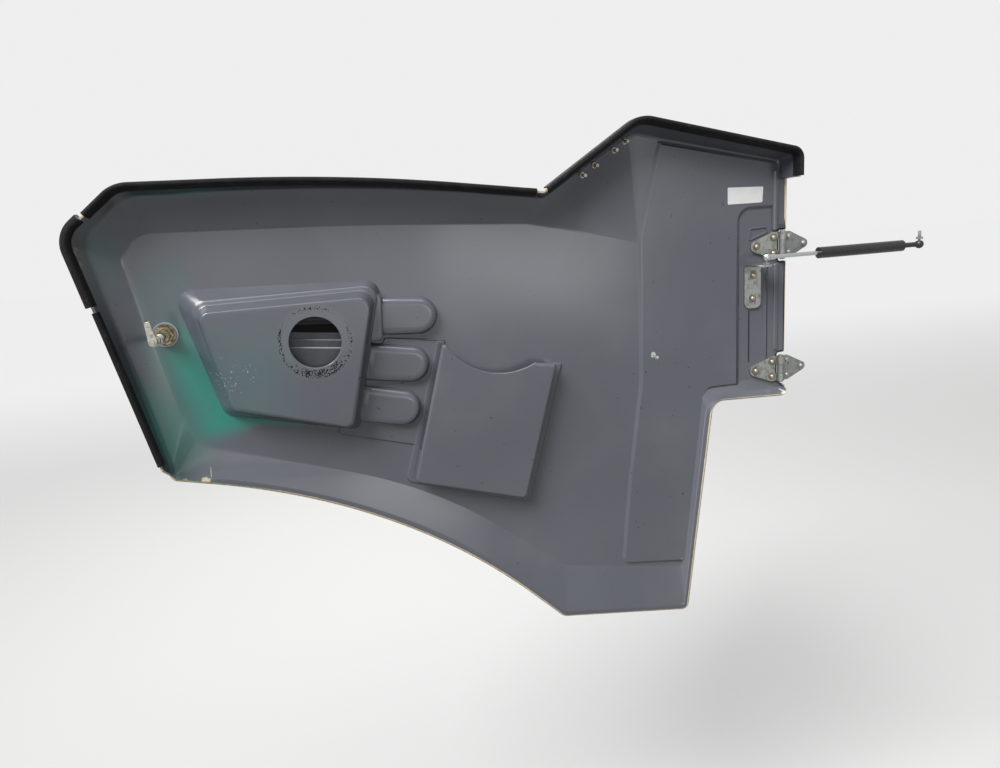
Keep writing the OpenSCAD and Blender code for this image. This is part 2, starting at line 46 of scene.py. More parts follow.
LAMINATE = 5.0
DOUBLER = 3.0
RIM = -38.0
LIP = -8.0
BEND = -24.0
HINGE_Z = 126.0
LEAF = 4.0
LATCH = (-1170.0, 60.0)
BALL_A = (-57.0, -36.0)


def metres(points):
    """Pin millimetres to the row frame in metres."""
    return (np.asarray(points, dtype=float) + PIN) / 1000.0


# Node trees

def operator(operation, swapped=False):
    def method(self, other):
        terms = [other, self] if swapped else [self, other]
        return self.tree.node("Math", {"operation": operation}, terms)
    return method


class Value:
    """A socket of a node tree that sums, products and comparisons can use."""

    __add__ = __radd__ = operator("ADD")
    __sub__ = operator("SUBTRACT")
    __rsub__ = operator("SUBTRACT", swapped=True)
    __mul__ = __rmul__ = operator("MULTIPLY")
    __truediv__ = operator("DIVIDE")
    most = operator("MAXIMUM")
    least = operator("MINIMUM")

    def __init__(self, tree, socket):
        self.tree = tree
        self.socket = socket

    def step(self, low, high):
        """0 at low and 1 at high, smooth in between; high may be the smaller number."""
        return self.tree.node("MapRange", {"interpolation_type": "SMOOTHSTEP"},
                              {"Value": self, "From Min": low, "From Max": high}, "Result")


class Tree:
    """A node tree whose nodes are made, set and fed in one call."""

    def __init__(self, tree):
        self.tree = tree
        tree.nodes.clear()

    def node(self, kind, settings, inputs, output=0):
        made = self.tree.nodes.new(kind if "Node" in kind else "ShaderNode" + kind)
        for key, value in settings.items():
            setattr(made, key, value)
        for key, value in inputs.items() if isinstance(inputs, dict) else enumerate(inputs):
            self.feed(made.inputs[key], value)
        return Value(self, made.outputs[output])

    def feed(self, socket, value):
        if isinstance(value, Value):
            self.tree.links.new(value.socket, socket)
        elif isinstance(value, tuple) and len(value) == 3 and socket.type == "RGBA":
            socket.default_value = (*value, 1.0)
        else:
            socket.default_value = value


class Finish(Tree):
    """One material and the nodes that make it; coats build up its colour."""

    def __init__(self, name, colour=None):
        self.material = bpy.data.materials.new(name)
        self.material.use_nodes = True
        super().__init__(self.material.node_tree)
        self.surface = self.node("BsdfPrincipled", {}, {})
        self.output = self.tree.nodes.new("ShaderNodeOutputMaterial").inputs["Surface"]
        self.feed(self.output, self.surface)
        self.place = self.node("TexCoord", {}, {}, "Object")
        self.colour = colour

    def set(self, **sockets):
        for name, value in sockets.items():
            self.feed(self.surface.socket.node.inputs[name.replace("_", " ")], value)
        return self.material

    def show_mix(self, share, first, second):
        """Ends the material in two shaders mixed by share."""
        self.feed(self.output, self.node("MixShader", {}, [share, first, second]))

    def covered(self, share, colour):
        """Puts a dull layer over the finish where share is 1."""
        layer = {"Base Color": colour, "Roughness": 0.9, "Specular IOR Level": 0.0}
        self.show_mix(share, self.surface, self.node("BsdfPrincipled", {}, layer))

    def noise(self, scale, detail=3.0, roughness=0.5):
        return self.node("TexNoise", {}, {"Vector": self.place, "Scale": scale, "Detail": detail,
                                          "Roughness": roughness}, "Fac")

    def wobble(self, size, *noise):
        """Noise around 0 that is size wide."""
        return (self.noise(*noise) - 0.5) * size

    def mix(self, factor, first, second):
        return self.node("Mix", {"data_type": "RGBA"}, {0: factor, 6: first, 7: second}, 2)

    def coat(self, share, colour):
        self.colour = self.mix(share, self.colour, colour)

    def bump(self, height, strength, distance):
        return self.node("Bump", {}, {"Height": height, "Strength": strength, "Distance": distance})

    def attribute(self, name):
        return self.node("Attribute", {"attribute_name": name}, {}, "Fac")

    def axis(self, index):
        return self.node("SeparateXYZ", {}, [self.place], index)

    def pin_axis(self, index):
        """The place along an axis in pin millimetres."""
        return self.axis(index) * 1000.0 - PIN[index]

    def near(self, point, scale=(1.0, 1.0, 1.0)):
        """Distance in metres from a point in pin millimetres, with axes stretched by scale."""
        away = self.node("VectorMath", {"operation": "SUBTRACT"}, [self.place, tuple(metres(point))])
        away = self.node("VectorMath", {"operation": "MULTIPLY"}, [away, scale])
        return self.node("VectorMath", {"operation": "LENGTH"}, [away], "Value")


# Materials

GREY = (0.102, 0.107, 0.127)
GREEN = (0.012, 0.29, 0.205)
CREAM = (0.80, 0.67, 0.47)
DUST = (0.30, 0.29, 0.27)
# Near-black for soot specks on the gelcoat and for the painted shade behind the port.
SPECK_AND_SHADE_BLACK = (0.012, 0.012, 0.013)
STAIN = (0.12, 0.10, 0.07)
DRIFTED_GREEN = (0.020, 0.27, 0.205)

# Patches of thin overspray: middle, stretch of the axes, where it starts to fade and ends, share.
THIN_SPRAY = [
    ((-1185, 0, -95), (1.0, 1.0, 0.8), 0.010, 0.105, 0.55),
    ((-1160, 7, 110), (1.0, 1.0, 0.7), 0.02, 0.075, 0.15),
    ((-1248, -20, 205), (1.0, 0.6, 0.45), 0.005, 0.055, 0.14),
    ((-1100, -30, 300), (0.16, 0.6, 1.0), 0.004, 0.026, 0.45),
    ((-1190, 0, -160), (1.0, 1.0, 0.6), 0.006, 0.034, 0.2)]
# Spots where the skin's edge is broken: middle and size in metres.
BROKEN_EDGE = [((-1176, -5, -202), 0.008), ((-497, -38, 258), 0.016), ((-216, -8, -632), 0.010),
               ((5, -6, -182), 0.009), ((-150, -6, -190), 0.007)]


def overspray(finish, strength):
    """Green paint that drifted onto the inner face: thick beside the intake box, thin further out."""
    x, z = finish.pin_axis(0), finish.pin_axis(2)
    # Millimetres outwards from the box's outer edge and from its lower edge.
    beside = (x + 1150.0) * -0.971 + (z - 134.0) * -0.239
    below = (x + 1094.0) * -0.235 + (z + 94.0) * -0.972
    reach = 104.0 - x.step(-1150.0, -1020.0) * 91.0
    thick = (beside.most(below) / reach).step(1.0, 0.08)
    thick = thick * z.step(118.0, -10.0) * x.step(-915.0, -1040.0) * z.step(-165.0, -110.0)
    thin = 0.0
    for point, scale, close, far, share in THIN_SPRAY:
        thin = finish.near(point, scale).step(far, close) * share + thin
    grain = finish.noise(700.0, 1.0, 0.6) * 0.35 + finish.noise(11.0) * 0.6 + 0.5
    finish.coat((thick.most(thin) * grain).least(1.0) * strength, DRIFTED_GREEN)


def painted_shade_behind_port(finish):
    # Painted shade: the field and pads behind the intake port darkened almost to black, as the box shades
    # them.
    inside = finish.near((PORT[0], 0.0, PORT[1] + 2.0), (1.0, 0.0, 1.0)).step(0.085, 0.060)
    finish.covered(inside * 0.95, SPECK_AND_SHADE_BLACK)


def worn_edge_and_painted_light(finish):
    """Bare laminate along the skin's edge and the glue and chips near it, with a painted highlight on the
    ridge, painted shade on the rim wall under the seal and a dark brown blot above the upper knuckle.
    """
    x, z = finish.pin_axis(0), finish.axis(2)
    gap = finish.attribute("edge_gap") - x.step(7.0, 8.6) * z.step(-0.10, -0.09) * 0.0052
    gap = gap - x.step(-236.0, -222.0) * z.step(-0.184, -0.205) * 0.0016
    # Painted highlight: a light line along the ridge of the lip at its lower end near the hinge.
    painted_ridge_highlight = gap.step(0.0100, 0.0115) * gap.step(0.0138, 0.0123)
    finish.coat(painted_ridge_highlight * x.step(-236.0, -228.0) * z.step(-0.184, -0.200) * 0.5, (0.34, 0.35, 0.40))
    worn = (gap + finish.wobble(0.0020, 70.0, 4.0, 0.7)).step(0.0016, 0.0009)
    finish.coat(worn, finish.mix(x.step(-1060.0, -1010.0), (0.02, 0.26, 0.19), CREAM))
    broken = 0.0
    for point, size in BROKEN_EDGE:
        broken = finish.near(point).step(size, size * 0.4).most(broken)
    crack = (gap + finish.wobble(0.05, 90.0, 5.0, 0.8)).step(0.0075, 0.004)
    finish.coat(crack * broken, CREAM)
    chip = finish.near((-1141, -7, -205), (0.8, 0.8, 1.0)) + finish.wobble(0.014, 260.0, 3.0, 0.7)
    line = finish.near((-1131, -4, -192), (9.0, 0.5, 1.0)) + finish.wobble(0.018, 150.0, 3.0, 0.7)
    line = line.step(0.0105, 0.0080) * 0.5
    finish.coat(chip.step(0.0062, 0.0052).most(line), (0.62, 0.54, 0.40))
    # Painted shade: the rim wall under the seal darkened within 40 mm of the edge.
    rim_wall_shade = finish.axis(1).step(-0.022, -0.030) * x.step(-420.0, -520.0)
    finish.coat(rim_wall_shade * gap.step(0.040, 0.024) * 0.7, (0.016, 0.024, 0.026))
    glue = finish.near((-1287, -34, 165), (1.0, 1.0, 0.30)).step(0.026, 0.012)
    glue = glue * finish.noise(150.0, 3.0, 0.7).step(0.54, 0.60)
    finish.coat(glue * 0.8, (0.28, 0.22, 0.13))
    # A dark brown blot in the corner above the upper knuckle.
    blotch = finish.near((2, 7, 157)).step(0.012, 0.005)
    finish.coat(blotch * finish.noise(160.0, 3.0, 0.7).step(0.40, 0.52), (0.035, 0.018, 0.012))


def chips(finish):
    for point, size in (((-489, -21, -319), 0.0050), ((-224, 3, -520), 0.0045)):
        chip = finish.near(point) + finish.wobble(0.003, 300.0, 2.0)
        finish.coat(chip.step(size, size * 0.8), (0.30, 0.22, 0.14))
    for point, size in (((-279, 3, -69), 0.0064), ((-271, 3, -75), 0.0042)):
        spot = finish.near(point).step(size, size * 0.8)
        finish.coat(spot * finish.noise(260.0, 2.0).step(0.42, 0.47), (0.56, 0.54, 0.50))


def port_grime(finish):
    """A worn black ring around the port, and flakes of paint at the box's lower outer corner."""
    around = finish.near((PORT[0], FIELD - BOX_H, PORT[1]), (1.0, 0.6, 1.0))
    across, up = finish.pin_axis(0) - PORT[0], finish.pin_axis(2) - PORT[1]
    blotch = finish.noise(330.0, 3.0, 0.72) + finish.noise(60.0, 2.0) * 0.25
    beside = across.step(-44.0, -58.0).most(across.step(46.0, 58.0) * 0.62)
    amount = up.step(2.0, -34.0).most(beside).most(up.step(44.0, 58.0) * 0.72)
    ring = around.step(0.0545, 0.0585) * around.step(0.0650, 0.0615)
    inner = around.step(0.0470, 0.0490) * around.step(0.0610, 0.0560)
    inner = inner * up.step(-18.0, -40.0) * across.step(-50.0, -20.0)
    spots = (blotch + (amount - 1.0) * 0.13).step(0.640, 0.660)
    finish.covered(ring.most(inner) * spots, (0.004, 0.004, 0.004))
    finish.coat(around.step(0.0700, 0.0600) * 0.10, (0.30, 0.30, 0.32))
    low = finish.near((-1072, -38, -20), (0.8, 1.0, 1.0)).step(0.070, 0.004)
    flake = (finish.noise(380.0, 1.0) + low * 0.12).step(0.810, 0.822)
    finish.coat(flake * low.step(0.0, 0.1), (0.80, 0.80, 0.79))


def grey_gelcoat(name, spray, *extras):
    """The door's grey inner face; extras add what only some pieces show."""
    finish = Finish(name, GREY)
    finish.coat(finish.noise(3.4).step(0.35, 0.7), tuple(c * 1.12 for c in GREY))
    dust = finish.noise(6.0, 4.0, 0.55).step(0.46, 0.80)
    finish.coat(dust * 0.09, DUST)
    finish.coat(finish.noise(150.0, 0.0, 0.0).step(0.86, 0.875) * 0.6, SPECK_AND_SHADE_BLACK)
    if spray:
        overspray(finish, spray)
    for extra in extras:
        extra(finish)
    wave = finish.bump(finish.noise(2.6, 1.0, 0.4), 0.5, 0.02)
    return finish.set(Base_Color=finish.colour, Roughness=0.19 + dust * 0.04, Normal=wave)


def green_paint():
    finish = Finish("green_topcoat", GREEN)
    cloud = finish.noise(6.0, 4.0, 0.6)
    finish.coat(cloud.step(0.4, 0.75), tuple(c * 0.8 for c in GREEN))
    ragged = finish.attribute("edge_gap") + finish.wobble(0.005, 50.0, 4.0, 0.7)
    finish.coat(ragged.step(0.0014, 0.0006), CREAM)
    wave = finish.bump(finish.noise(3.0, 2.0), 0.35, 0.01)
    return finish.set(Base_Color=finish.colour, Roughness=0.26 + cloud * 0.16, Normal=wave)


def laminate_edge():
    finish = Finish("bare_laminate_edge", CREAM)
    fibre = finish.noise(160.0, 5.0, 0.7)
    finish.coat(fibre.step(0.35, 0.65), (0.52, 0.40, 0.25))
    finish.coat(finish.noise(24.0, 4.0, 0.7).step(0.56, 0.72) * 0.6, (0.16, 0.12, 0.09))
    return finish.set(Base_Color=finish.colour, Roughness=0.62, Normal=finish.bump(fibre, 0.5, 0.0006))


def seal_rubber(name, worn):
    finish = Finish(name, (0.006, 0.006, 0.007))
    speck = finish.noise(420.0, 3.0, 0.75)
    dust = finish.noise(38.0, 5.0, 0.7)
    finish.coat(dust.step(0.45, 0.75), (0.020, 0.020, 0.021))
    finish.coat(speck.step(0.66, 0.74) * (dust.step(0.42, 0.62) * worn), (0.36, 0.34, 0.31))
    return finish.set(Base_Color=finish.colour, Roughness=0.62 + dust * 0.2, Specular_IOR_Level=0.18,
                      Normal=finish.bump(speck + dust, 0.6, 0.0012))


def metal(name, colour, rough, stain, stain_colour=STAIN, grain=0.0):
    finish = Finish(name)
    cloud = finish.noise(130.0, 5.0, 0.7)
    fine = finish.noise(600.0, 3.0, 0.6)
    spots = (cloud * 0.8 + fine * 0.35).step(0.52, 0.76) * stain
    if grain:
        finish.set(Normal=finish.bump(cloud + fine * 0.3, grain, 0.0012))
    return finish.set(Base_Color=finish.mix(spots, colour, stain_colour), Metallic=1.0 - spots * 0.55,
                      Roughness=rough + fine * 0.16 + spots * 0.2)


def latch_plating(name):
    """Yellow zinc on the nut and barrel, dull grey on the wide washer around them."""
    finish = Finish(name)
    radius = finish.near((LATCH[0], 0.0, LATCH[1]), (1.0, 0.0, 1.0))
    cloud = finish.noise(130.0, 4.0, 0.7)
    stain = cloud.step(0.42, 0.66)
    gold = finish.mix(stain, (0.36, 0.31, 0.21), (0.09, 0.065, 0.04))
    outside = radius.step(0.0165, 0.0180)
    grey = finish.mix(radius.step(0.0192, 0.0200), (0.16, 0.17, 0.18), (0.42, 0.43, 0.43))
    return finish.set(Base_Color=finish.mix(outside, gold, grey), Roughness=0.30 + stain * 0.25,
                      Metallic=0.95 - outside * 0.75, Normal=finish.bump(cloud, 0.25, 0.0008))


def plain(name, colour, rough, darker=0.75, speckle=0.0):
    finish = Finish(name, colour)
    cloud = finish.noise(60.0, 4.0, 0.6)
    finish.coat(cloud.step(0.35, 0.7), tuple(c * darker for c in colour))
    if speckle:
        finish.coat(finish.noise(500.0, 2.0).step(0.64, 0.70) * speckle, (0.5, 0.5, 0.48))
    return finish.set(Base_Color=finish.colour, Roughness=rough + cloud * 0.1)


# Outlines in X and Z

def unit(v):
    return v / np.linalg.norm(v, axis=-1, keepdims=True)


def left_of(v):
    return np.stack([-v[..., 1], v[..., 0]], axis=-1)


def rounded_corner(a, b, c, radius, count):
    """count + 1 points of the arc that rounds corner b between a and c."""
    d1, d2 = unit(b - a), unit(c - b)
    turn = math.atan2(d1[0] * d2[1] - d1[1] * d2[0], float(d1 @ d2))
    if abs(turn) < math.radians(20):
        reach = max(radius * math.tan(abs(turn) / 2), min(radius, 1.2))
        t = np.linspace(0, 1, count + 1)[:, None]
        return (b - d1 * reach) * (1 - t) ** 2 + b * 2 * t * (1 - t) + (b + d2 * reach) * t * t
    start = b - d1 * radius * math.tan(abs(turn) / 2)
    centre = start + left_of(d1) * radius * math.copysign(1, turn)
    arm = start - centre
    t = np.linspace(0, turn, count + 1)
    return centre + np.stack([arm[0] * np.cos(t) - arm[1] * np.sin(t),
                              arm[0] * np.sin(t) + arm[1] * np.cos(t)], axis=-1)


def mitred(corners, distances):
    """The corners moved inwards, each by its own distance along the miter of its edges."""
    before, after = np.roll(corners, 1, axis=0), np.roll(corners, -1, axis=0)
    n1, n2 = left_of(unit(corners - before)), left_of(unit(after - corners))
    step = (n1 + n2) / (1 + (n1 * n2).sum(axis=1))[:, None]
    return corners + step * np.asarray(distances, dtype=float)[:, None]


def turn_sides(corners):
    e1 = corners - np.roll(corners, 1, axis=0)
    e2 = np.roll(corners, -1, axis=0) - corners
    return np.sign(e1[:, 0] * e2[:, 1] - e1[:, 1] * e2[:, 0])


def outline(corners, radii, counts):
    """A rounded closed outline and, for each point, the corner that it belongs to."""
    points, owners = [], []
    n = len(corners)
    for i in range(n):
        arc = rounded_corner(corners[i - 1], corners[i], corners[(i + 1) % n], radii[i], counts[i])
        points.append(arc)
        owners += [i] * len(arc)
    return np.vstack(points), np.array(owners)


def inset_outline(corners, radii, insets, counts):
    insets = np.broadcast_to(np.asarray(insets, dtype=float), (len(corners),))
    grown = np.maximum(1.0, np.asarray(radii, dtype=float) - turn_sides(corners) * insets)
    return outline(mitred(corners, insets), grown, counts)[0]


def circle(centre, radius, count, start=0.0):
    turns = start + np.linspace(0, 2 * math.pi, count, endpoint=False)
    return np.array([[centre[0] + radius * math.cos(a), centre[1] + radius * math.sin(a)] for a in turns])


# Meshes

def finished(obj, body, slot_name, *cad_nodes):
    """Hands a piece that is in its place to the frame."""
    bpy.context.view_layer.update()
    if cad_nodes:
        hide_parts(*cad_nodes)
    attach(obj, body)
    return obj


def add_object(name, mesh, *materials):
    obj = bpy.data.objects.new(name, mesh)
    bpy.context.scene.collection.objects.link(obj)
    for material in materials:
        mesh.materials.append(material)
    return obj


def smooth_mesh(mesh, angle):
    mesh.shade_smooth()
    mesh.set_sharp_from_angle(angle=math.radians(angle))


def weld(mesh, doubles, slivers, angle):
    """Joins points, removes slivers, turns the faces outward and smooths them up to an angle."""
    welded = bmesh.new()
    welded.from_mesh(mesh)
    bmesh.ops.remove_doubles(welded, verts=welded.verts, dist=doubles)
    if slivers:
        bmesh.ops.dissolve_degenerate(welded, edges=welded.edges, dist=slivers)
    bmesh.ops.recalc_face_normals(welded, faces=welded.faces)
    welded.to_mesh(mesh)
    welded.free()
    smooth_mesh(mesh, angle)


def solid(name, points, faces, angle, *materials):
    """An object from pin millimetres and faces, welded and with its faces outward."""
    mesh = bpy.data.meshes.new(name)
    mesh.from_pydata([tuple(p) for p in metres(points)], [], faces)
    weld(mesh, 0.00002, 0.000005, angle)
    return add_object(name, mesh, *materials)


def fill_loops(points, loops):
    """Triangles that fill a flat region between index loops: the first is outside, the others are holes."""
    flat = bmesh.new()
    verts = {i: flat.verts.new(points[i]) for loop in loops for i in loop}
    for loop in loops:
        for a, b in zip(loop, loop[1:] + loop[:1]):
            flat.edges.new((verts[a], verts[b]))
    bmesh.ops.triangle_fill(flat, use_beauty=True, edges=flat.edges[:])
    back = {v: i for i, v in verts.items()}
    faces = [[back[v] for v in f.verts] for f in flat.faces]
    flat.free()
    return faces


def stack_rings(rings, closed=False):
    """Quads between rings with equal counts; closed joins the last ring to the first."""
    n, count = len(rings[0]), len(rings)
    faces = []
    for k in range(count if closed else count - 1):
        low, high = k * n, (k + 1) % count * n
        faces += [[low + i, low + (i + 1) % n, high + (i + 1) % n, high + i] for i in range(n)]
    return faces


def tube(name, rings, angle, *materials):
    """A closed solid from rings with equal counts and a face at each end."""
    n, count = len(rings[0]), len(rings)
    ends = [list(range(n)), list(range((count - 1) * n, count * n))[::-1]]
    return solid(name, np.vstack(rings), stack_rings(rings) + ends, angle, *materials)


def fillet(a, b, c, reach, count):
    """Rings that round the corner b of a section a-b-c; reach is the tangent length at each point."""
    ab, cb = a - b, c - b
    la = np.linalg.norm(ab, axis=1, keepdims=True)
    lc = np.linalg.norm(cb, axis=1, keepdims=True)
    reach = np.minimum(np.broadcast_to(np.asarray(reach, dtype=float).reshape(-1, 1), la.shape),
                       0.46 * np.minimum(la, lc))
    start, end = b + ab / np.maximum(la, 1e-9) * reach, b + cb / np.maximum(lc, 1e-9) * reach
    rings = []
    for t in np.linspace(0, 1, count + 1):
        rings.append(start * (1 - t) ** 2 + b * 2 * t * (1 - t) + end * t * t)
    return rings


def with_y(points, y):
    y = np.broadcast_to(np.asarray(y, dtype=float), (len(points),))
    return np.stack([points[:, 0], y, points[:, 1]], axis=-1)


# The door's skin: the outline's corners, anticlockwise from the tip below the lower hinge.
# Columns: x, z, radius, y of the edge, turn of the edge in degrees, width of the band to the inner bend,
# y of that bend, x, z and radius of the field's corner, reach of the soft bend around the field.
CORNERS = np.array([
    [14, -184, 14, LIP, 45, 14, FIELD, -40, -142, 2, 1],
    [12, -163, 5, LIP + 6, 30, 5, FIELD, -38, -137, 1, 1],
    [-4, -152, 4, FIELD, 0, 3, FIELD, -36, -132, 1, 1],
    [-4, -94, 4, FIELD, 0, 3, FIELD, -36, -91, 1, 1],
    [13, -94, 4, FIELD, 0, 3, FIELD, -34, -87, 1, 1],
    [13, 94, 4, FIELD, 0, 3, FIELD, -34, 87, 1, 1],
    [-4, 94, 4, FIELD, 0, 3, FIELD, -36, 91, 1, 1],
    [-4, 154.5, 3, FIELD, 0, 3, FIELD, -36, 161, 1, 1],
    [13, 154.5, 3, FIELD, 0, 3, FIELD, -34, 165, 1, 1],
    [13, 252, 1, FIELD, 0, 18, FIELD, -34, 210, 1, 1],
    [13, 255, 1, RIM, 90, 18, FIELD, -36, 216, 1, 1],
    [13, 305, 22, RIM, 90, 20, FIELD, -60, 245, 8, 3],
    [-311.5, 377.5, 55, RIM, 90, 24, FIELD, -300, 150, 4, 3],
    [-497, 258, 8, RIM, 90, 12, BEND + 8, -520, 205, 20, 5],
    [-850, 304, 3500, RIM, 90, 13, BEND + 6, -870, 222, 2600, 3],
    [-1200, 309, 60, RIM, 90, 20, BEND + 7, -1184, 231, 46, 3],
    [-1290, 235, 45, RIM, 90, 27, BEND + 8, -1220, 197, 42, 6],
    [-1204, -168, 12, RIM, 90, 14, BEND + 17, -1163, -86, 70, 10],
    [-1198, -198, 16, LIP, 70, 13, LIP + 6, -1138, -145, 45, 10],
    [-796, -295, 1200, LIP, 60, 12, LIP - 0.5, -735, -280, 900, 3],
    [-494, -597, 25, LIP, 50, 12, LIP - 1.5, -482, -490, 40, 2.5],
    [-216, -632, 14, LIP, 50, 12, LIP - 1.5, -223, -536, 10, 2.5],
    [-153, -178, 25, LIP, 50, 13, LIP + 3, -177, -151, 14, 3]])
(C_X, C_Z, C_RADIUS, C_EDGE, C_TURN, C_BAND, C_BEND, C_FIELD_X, C_FIELD_Z, C_FIELD_RADIUS,
 C_SOFT) = range(11)
CORNER_STEPS = [6 if r < 6 else 12 if r < 100 else 36 for r in CORNERS[:, C_RADIUS]]
VALLEY, TOP, TOP_CORNER, FREE_CORNER = 13, 14, 15, 16
END_OF_RIM, HUMP_SIDE, PEAK = 10, 11, 12

# The bays: x and z of the outer end's middle, fall to the outside in degrees, length.
BAYS = [(-734.5, 52.5, 4, 250), (-756.5, -35.5, 9, 188), (-779.5, -116, 13, 146)]
BAY_OPEN_R = 31.5


def skin_sections():
    """The section's rings, from the inner face's field over the edge to the outer face's field."""
    corners, radii = CORNERS[:, [C_X, C_Z]], CORNERS[:, C_RADIUS]
    turn = np.radians(CORNERS[:, C_TURN])
    edge_y, bend_y, band = CORNERS[:, C_EDGE], CORNERS[:, C_BEND], CORNERS[:, C_BAND]
    field = CORNERS[:, [C_FIELD_X, C_FIELD_Z]]
    field_points, owners = outline(field, CORNERS[:, C_FIELD_RADIUS], CORNER_STEPS)

    def ring(rounding, insets, y):
        return with_y(inset_outline(corners, rounding, insets, CORNER_STEPS), y[owners])

    rounder = radii.copy()
    rounder[[TOP_CORNER, FREE_CORNER]] += 34.0
    outer_band = np.maximum(1.0, band - LAMINATE * np.tan(turn / 2))
    rings = [with_y(field_points, FIELD),
             ring(rounder, band, bend_y),
             ring(radii, LAMINATE * np.sin(turn), edge_y),
             ring(radii, 0.0, edge_y + LAMINATE * np.cos(turn)),
             ring(radii, outer_band, bend_y + LAMINATE),
             with_y(field_points, OUTER)]
    return subdivide_straights(rings, CORNERS[owners, C_SOFT], owners)


def subdivide_straights(rings, soft, owners, longest=26.0):
    """Adds points on the straight stretches between corners, the same in each ring."""
    reference = rings[3]
    columns = np.concatenate(rings + [soft[:, None]], axis=1)
    rows = []
    for i in range(len(columns)):
        j = (i + 1) % len(columns)
        rows.append(columns[i])
        if owners[i] != owners[j]:
            pieces = int(np.linalg.norm(reference[j] - reference[i]) // longest)
            for k in range(1, pieces + 1):
                t = k / (pieces + 1)
                rows.append(columns[i] * (1 - t) + columns[j] * t)
    rows = np.array(rows)
    return [rows[:, 3 * k:3 * k + 3] for k in range(len(rings))], rows[:, -1]


def bay_axes(bay):
    """Along the bay towards its outer end, and up across it."""
    t = math.radians(bay[2])
    return np.array([math.cos(t), -math.sin(t)]), np.array([math.sin(t), math.cos(t)])


def bay_loop(bay, radius, y, count=20):
    along, up = bay_axes(bay)
    outer = np.array(bay[:2])
    points = []
    for centre, start in ((outer, -90), (outer - along * bay[3], 90)):
        for a in np.radians(np.linspace(start, start + 180, count)):
            points.append(centre + along * radius * math.cos(a) + up * radius * math.sin(a))
    return with_y(np.array(points), y)


def skin_rings():
    """The skin's rings with every bend rounded: those of the inner face, then those of the outer face."""
    (f_in, b_in, e_in, e_out, b_out, f_out), soft = skin_sections()
    tangent = np.roll(f_in, -1, axis=0) - np.roll(f_in, 1, axis=0)
    into = unit_rows(np.stack([-tangent[:, 2], tangent[:, 1] * 0.0, tangent[:, 0]], axis=-1))
    reach = np.where(soft < 4, 0.6, 2.2)[:, None] * soft[:, None]
    deep_in, deep_out = f_in + into * reach, f_out + into * reach
    bend_reach = np.minimum(5.0, 0.42 * np.linalg.norm(e_in - b_in, axis=1))
    edge_round = 0.9
    inner = [deep_in] + fillet(deep_in, f_in, b_in, soft, 6) + fillet(f_in, b_in, e_in, bend_reach, 6)
    inner += [e_in + unit_rows(b_in - e_in) * 4.0, e_in + unit_rows(b_in - e_in) * 1.5]
    inner += fillet(b_in, e_in, e_out, edge_round, 2)
    outer = fillet(e_in, e_out, b_out, edge_round, 2) + fillet(e_out, b_out, f_out, bend_reach * 1.2, 6)
    outer += fillet(b_out, f_out, deep_out, soft, 6) + [deep_out]
    return inner, outer


def make_skin(*materials):
    """The moulded skin; its zones take the materials inner face, cut edge and outer face."""
    inner, outer = skin_rings()
    rings = inner + outer
    n = len(rings[0])
    points = np.vstack(rings)
    faces = stack_rings(rings)
    zone = [0] * ((len(inner) - 1) * n) + [1] * n + [2] * ((len(outer) - 1) * n)
    gap = ring_gaps(inner, outer)
    offset = len(points)
    loops_in, loops_out = [list(range(n))], [list(range(offset - n, offset))]
    for bay in BAYS:
        ring_in, ring_out = bay_loop(bay, BAY_OPEN_R, FIELD), bay_loop(bay, BAY_OPEN_R, OUTER)
        count = len(ring_in)
        loops_in.append(list(range(offset, offset + count)))
        loops_out.append(list(range(offset + count, offset + 2 * count)))
        faces += [[offset + v for v in f] for f in stack_rings([ring_in, ring_out])]
        zone += [2] * count
        points = np.vstack([points, ring_in, ring_out])
        offset += 2 * count
    for loops, kind in ((loops_in, 0), (loops_out, 2)):
        filled = fill_loops(points, loops)
        faces += filled
        zone += [kind] * len(filled)
    far_from_edge = 0.08
    gaps = np.full(len(points), far_from_edge)
    gaps[:len(gap)] = gap
    mesh = bpy.data.meshes.new("door_skin")
    mesh.from_pydata([tuple(p) for p in metres(points)], [], faces)
    mesh.polygons.foreach_set("material_index", zone)
    attribute = mesh.attributes.new("edge_gap", "FLOAT", "POINT")
    attribute.data.foreach_set("value", gaps)
    weld(mesh, 0.00001, 0.0, 32)
    return add_object("door_skin", mesh, *materials)


def unit_rows(v):
    return v / np.maximum(np.linalg.norm(v, axis=1, keepdims=True), 1e-9)


def ring_gaps(inner, outer):
    """Distance in metres from each ring's points to the skin's edge, along the surface."""
    def from_first(rings):
        steps = [np.linalg.norm(b - a, axis=1) for a, b in zip(rings, rings[1:])]
        return np.vstack([np.zeros(len(rings[0]))] + steps).cumsum(axis=0)

    return np.concatenate([from_first(inner[::-1])[::-1].ravel(), from_first(outer).ravel()]) / 1000.0


# Raised pads and boxes, made by insetting one outline step by step

def inset_ring(points, distance):
    """A closed outline moved inwards along its points' normals."""
    before, after = np.roll(points, 1, axis=0), np.roll(points, -1, axis=0)
    n1, n2 = left_of(unit(points - before)), left_of(unit(after - points))
    step = (n1 + n2) / np.maximum(0.4, (1 + (n1 * n2).sum(axis=1)))[:, None]
    return points + step * distance


def distinct(points):
    keep = np.linalg.norm(points - np.roll(points, 1, axis=0), axis=1) > 0.02
    return points[keep]


def pad(name, points, profile, material, angle=38):
    """A pad from an outline: profile lists (inset, y) from the base to the crown."""
    points = distinct(points)
    profile = profile + [(profile[-1][0] + 0.8, profile[-1][1])]
    rings = [with_y(inset_ring(points, inset), y) for inset, y in profile]
    n, total = len(points), len(points) * len(rings)
    stacked = np.vstack(rings)
    faces = stack_rings(rings) + fill_loops(stacked, [list(range(n))])
    faces += fill_loops(stacked, [list(range(total - n, total))])
    return solid(name, stacked, faces, angle, material)


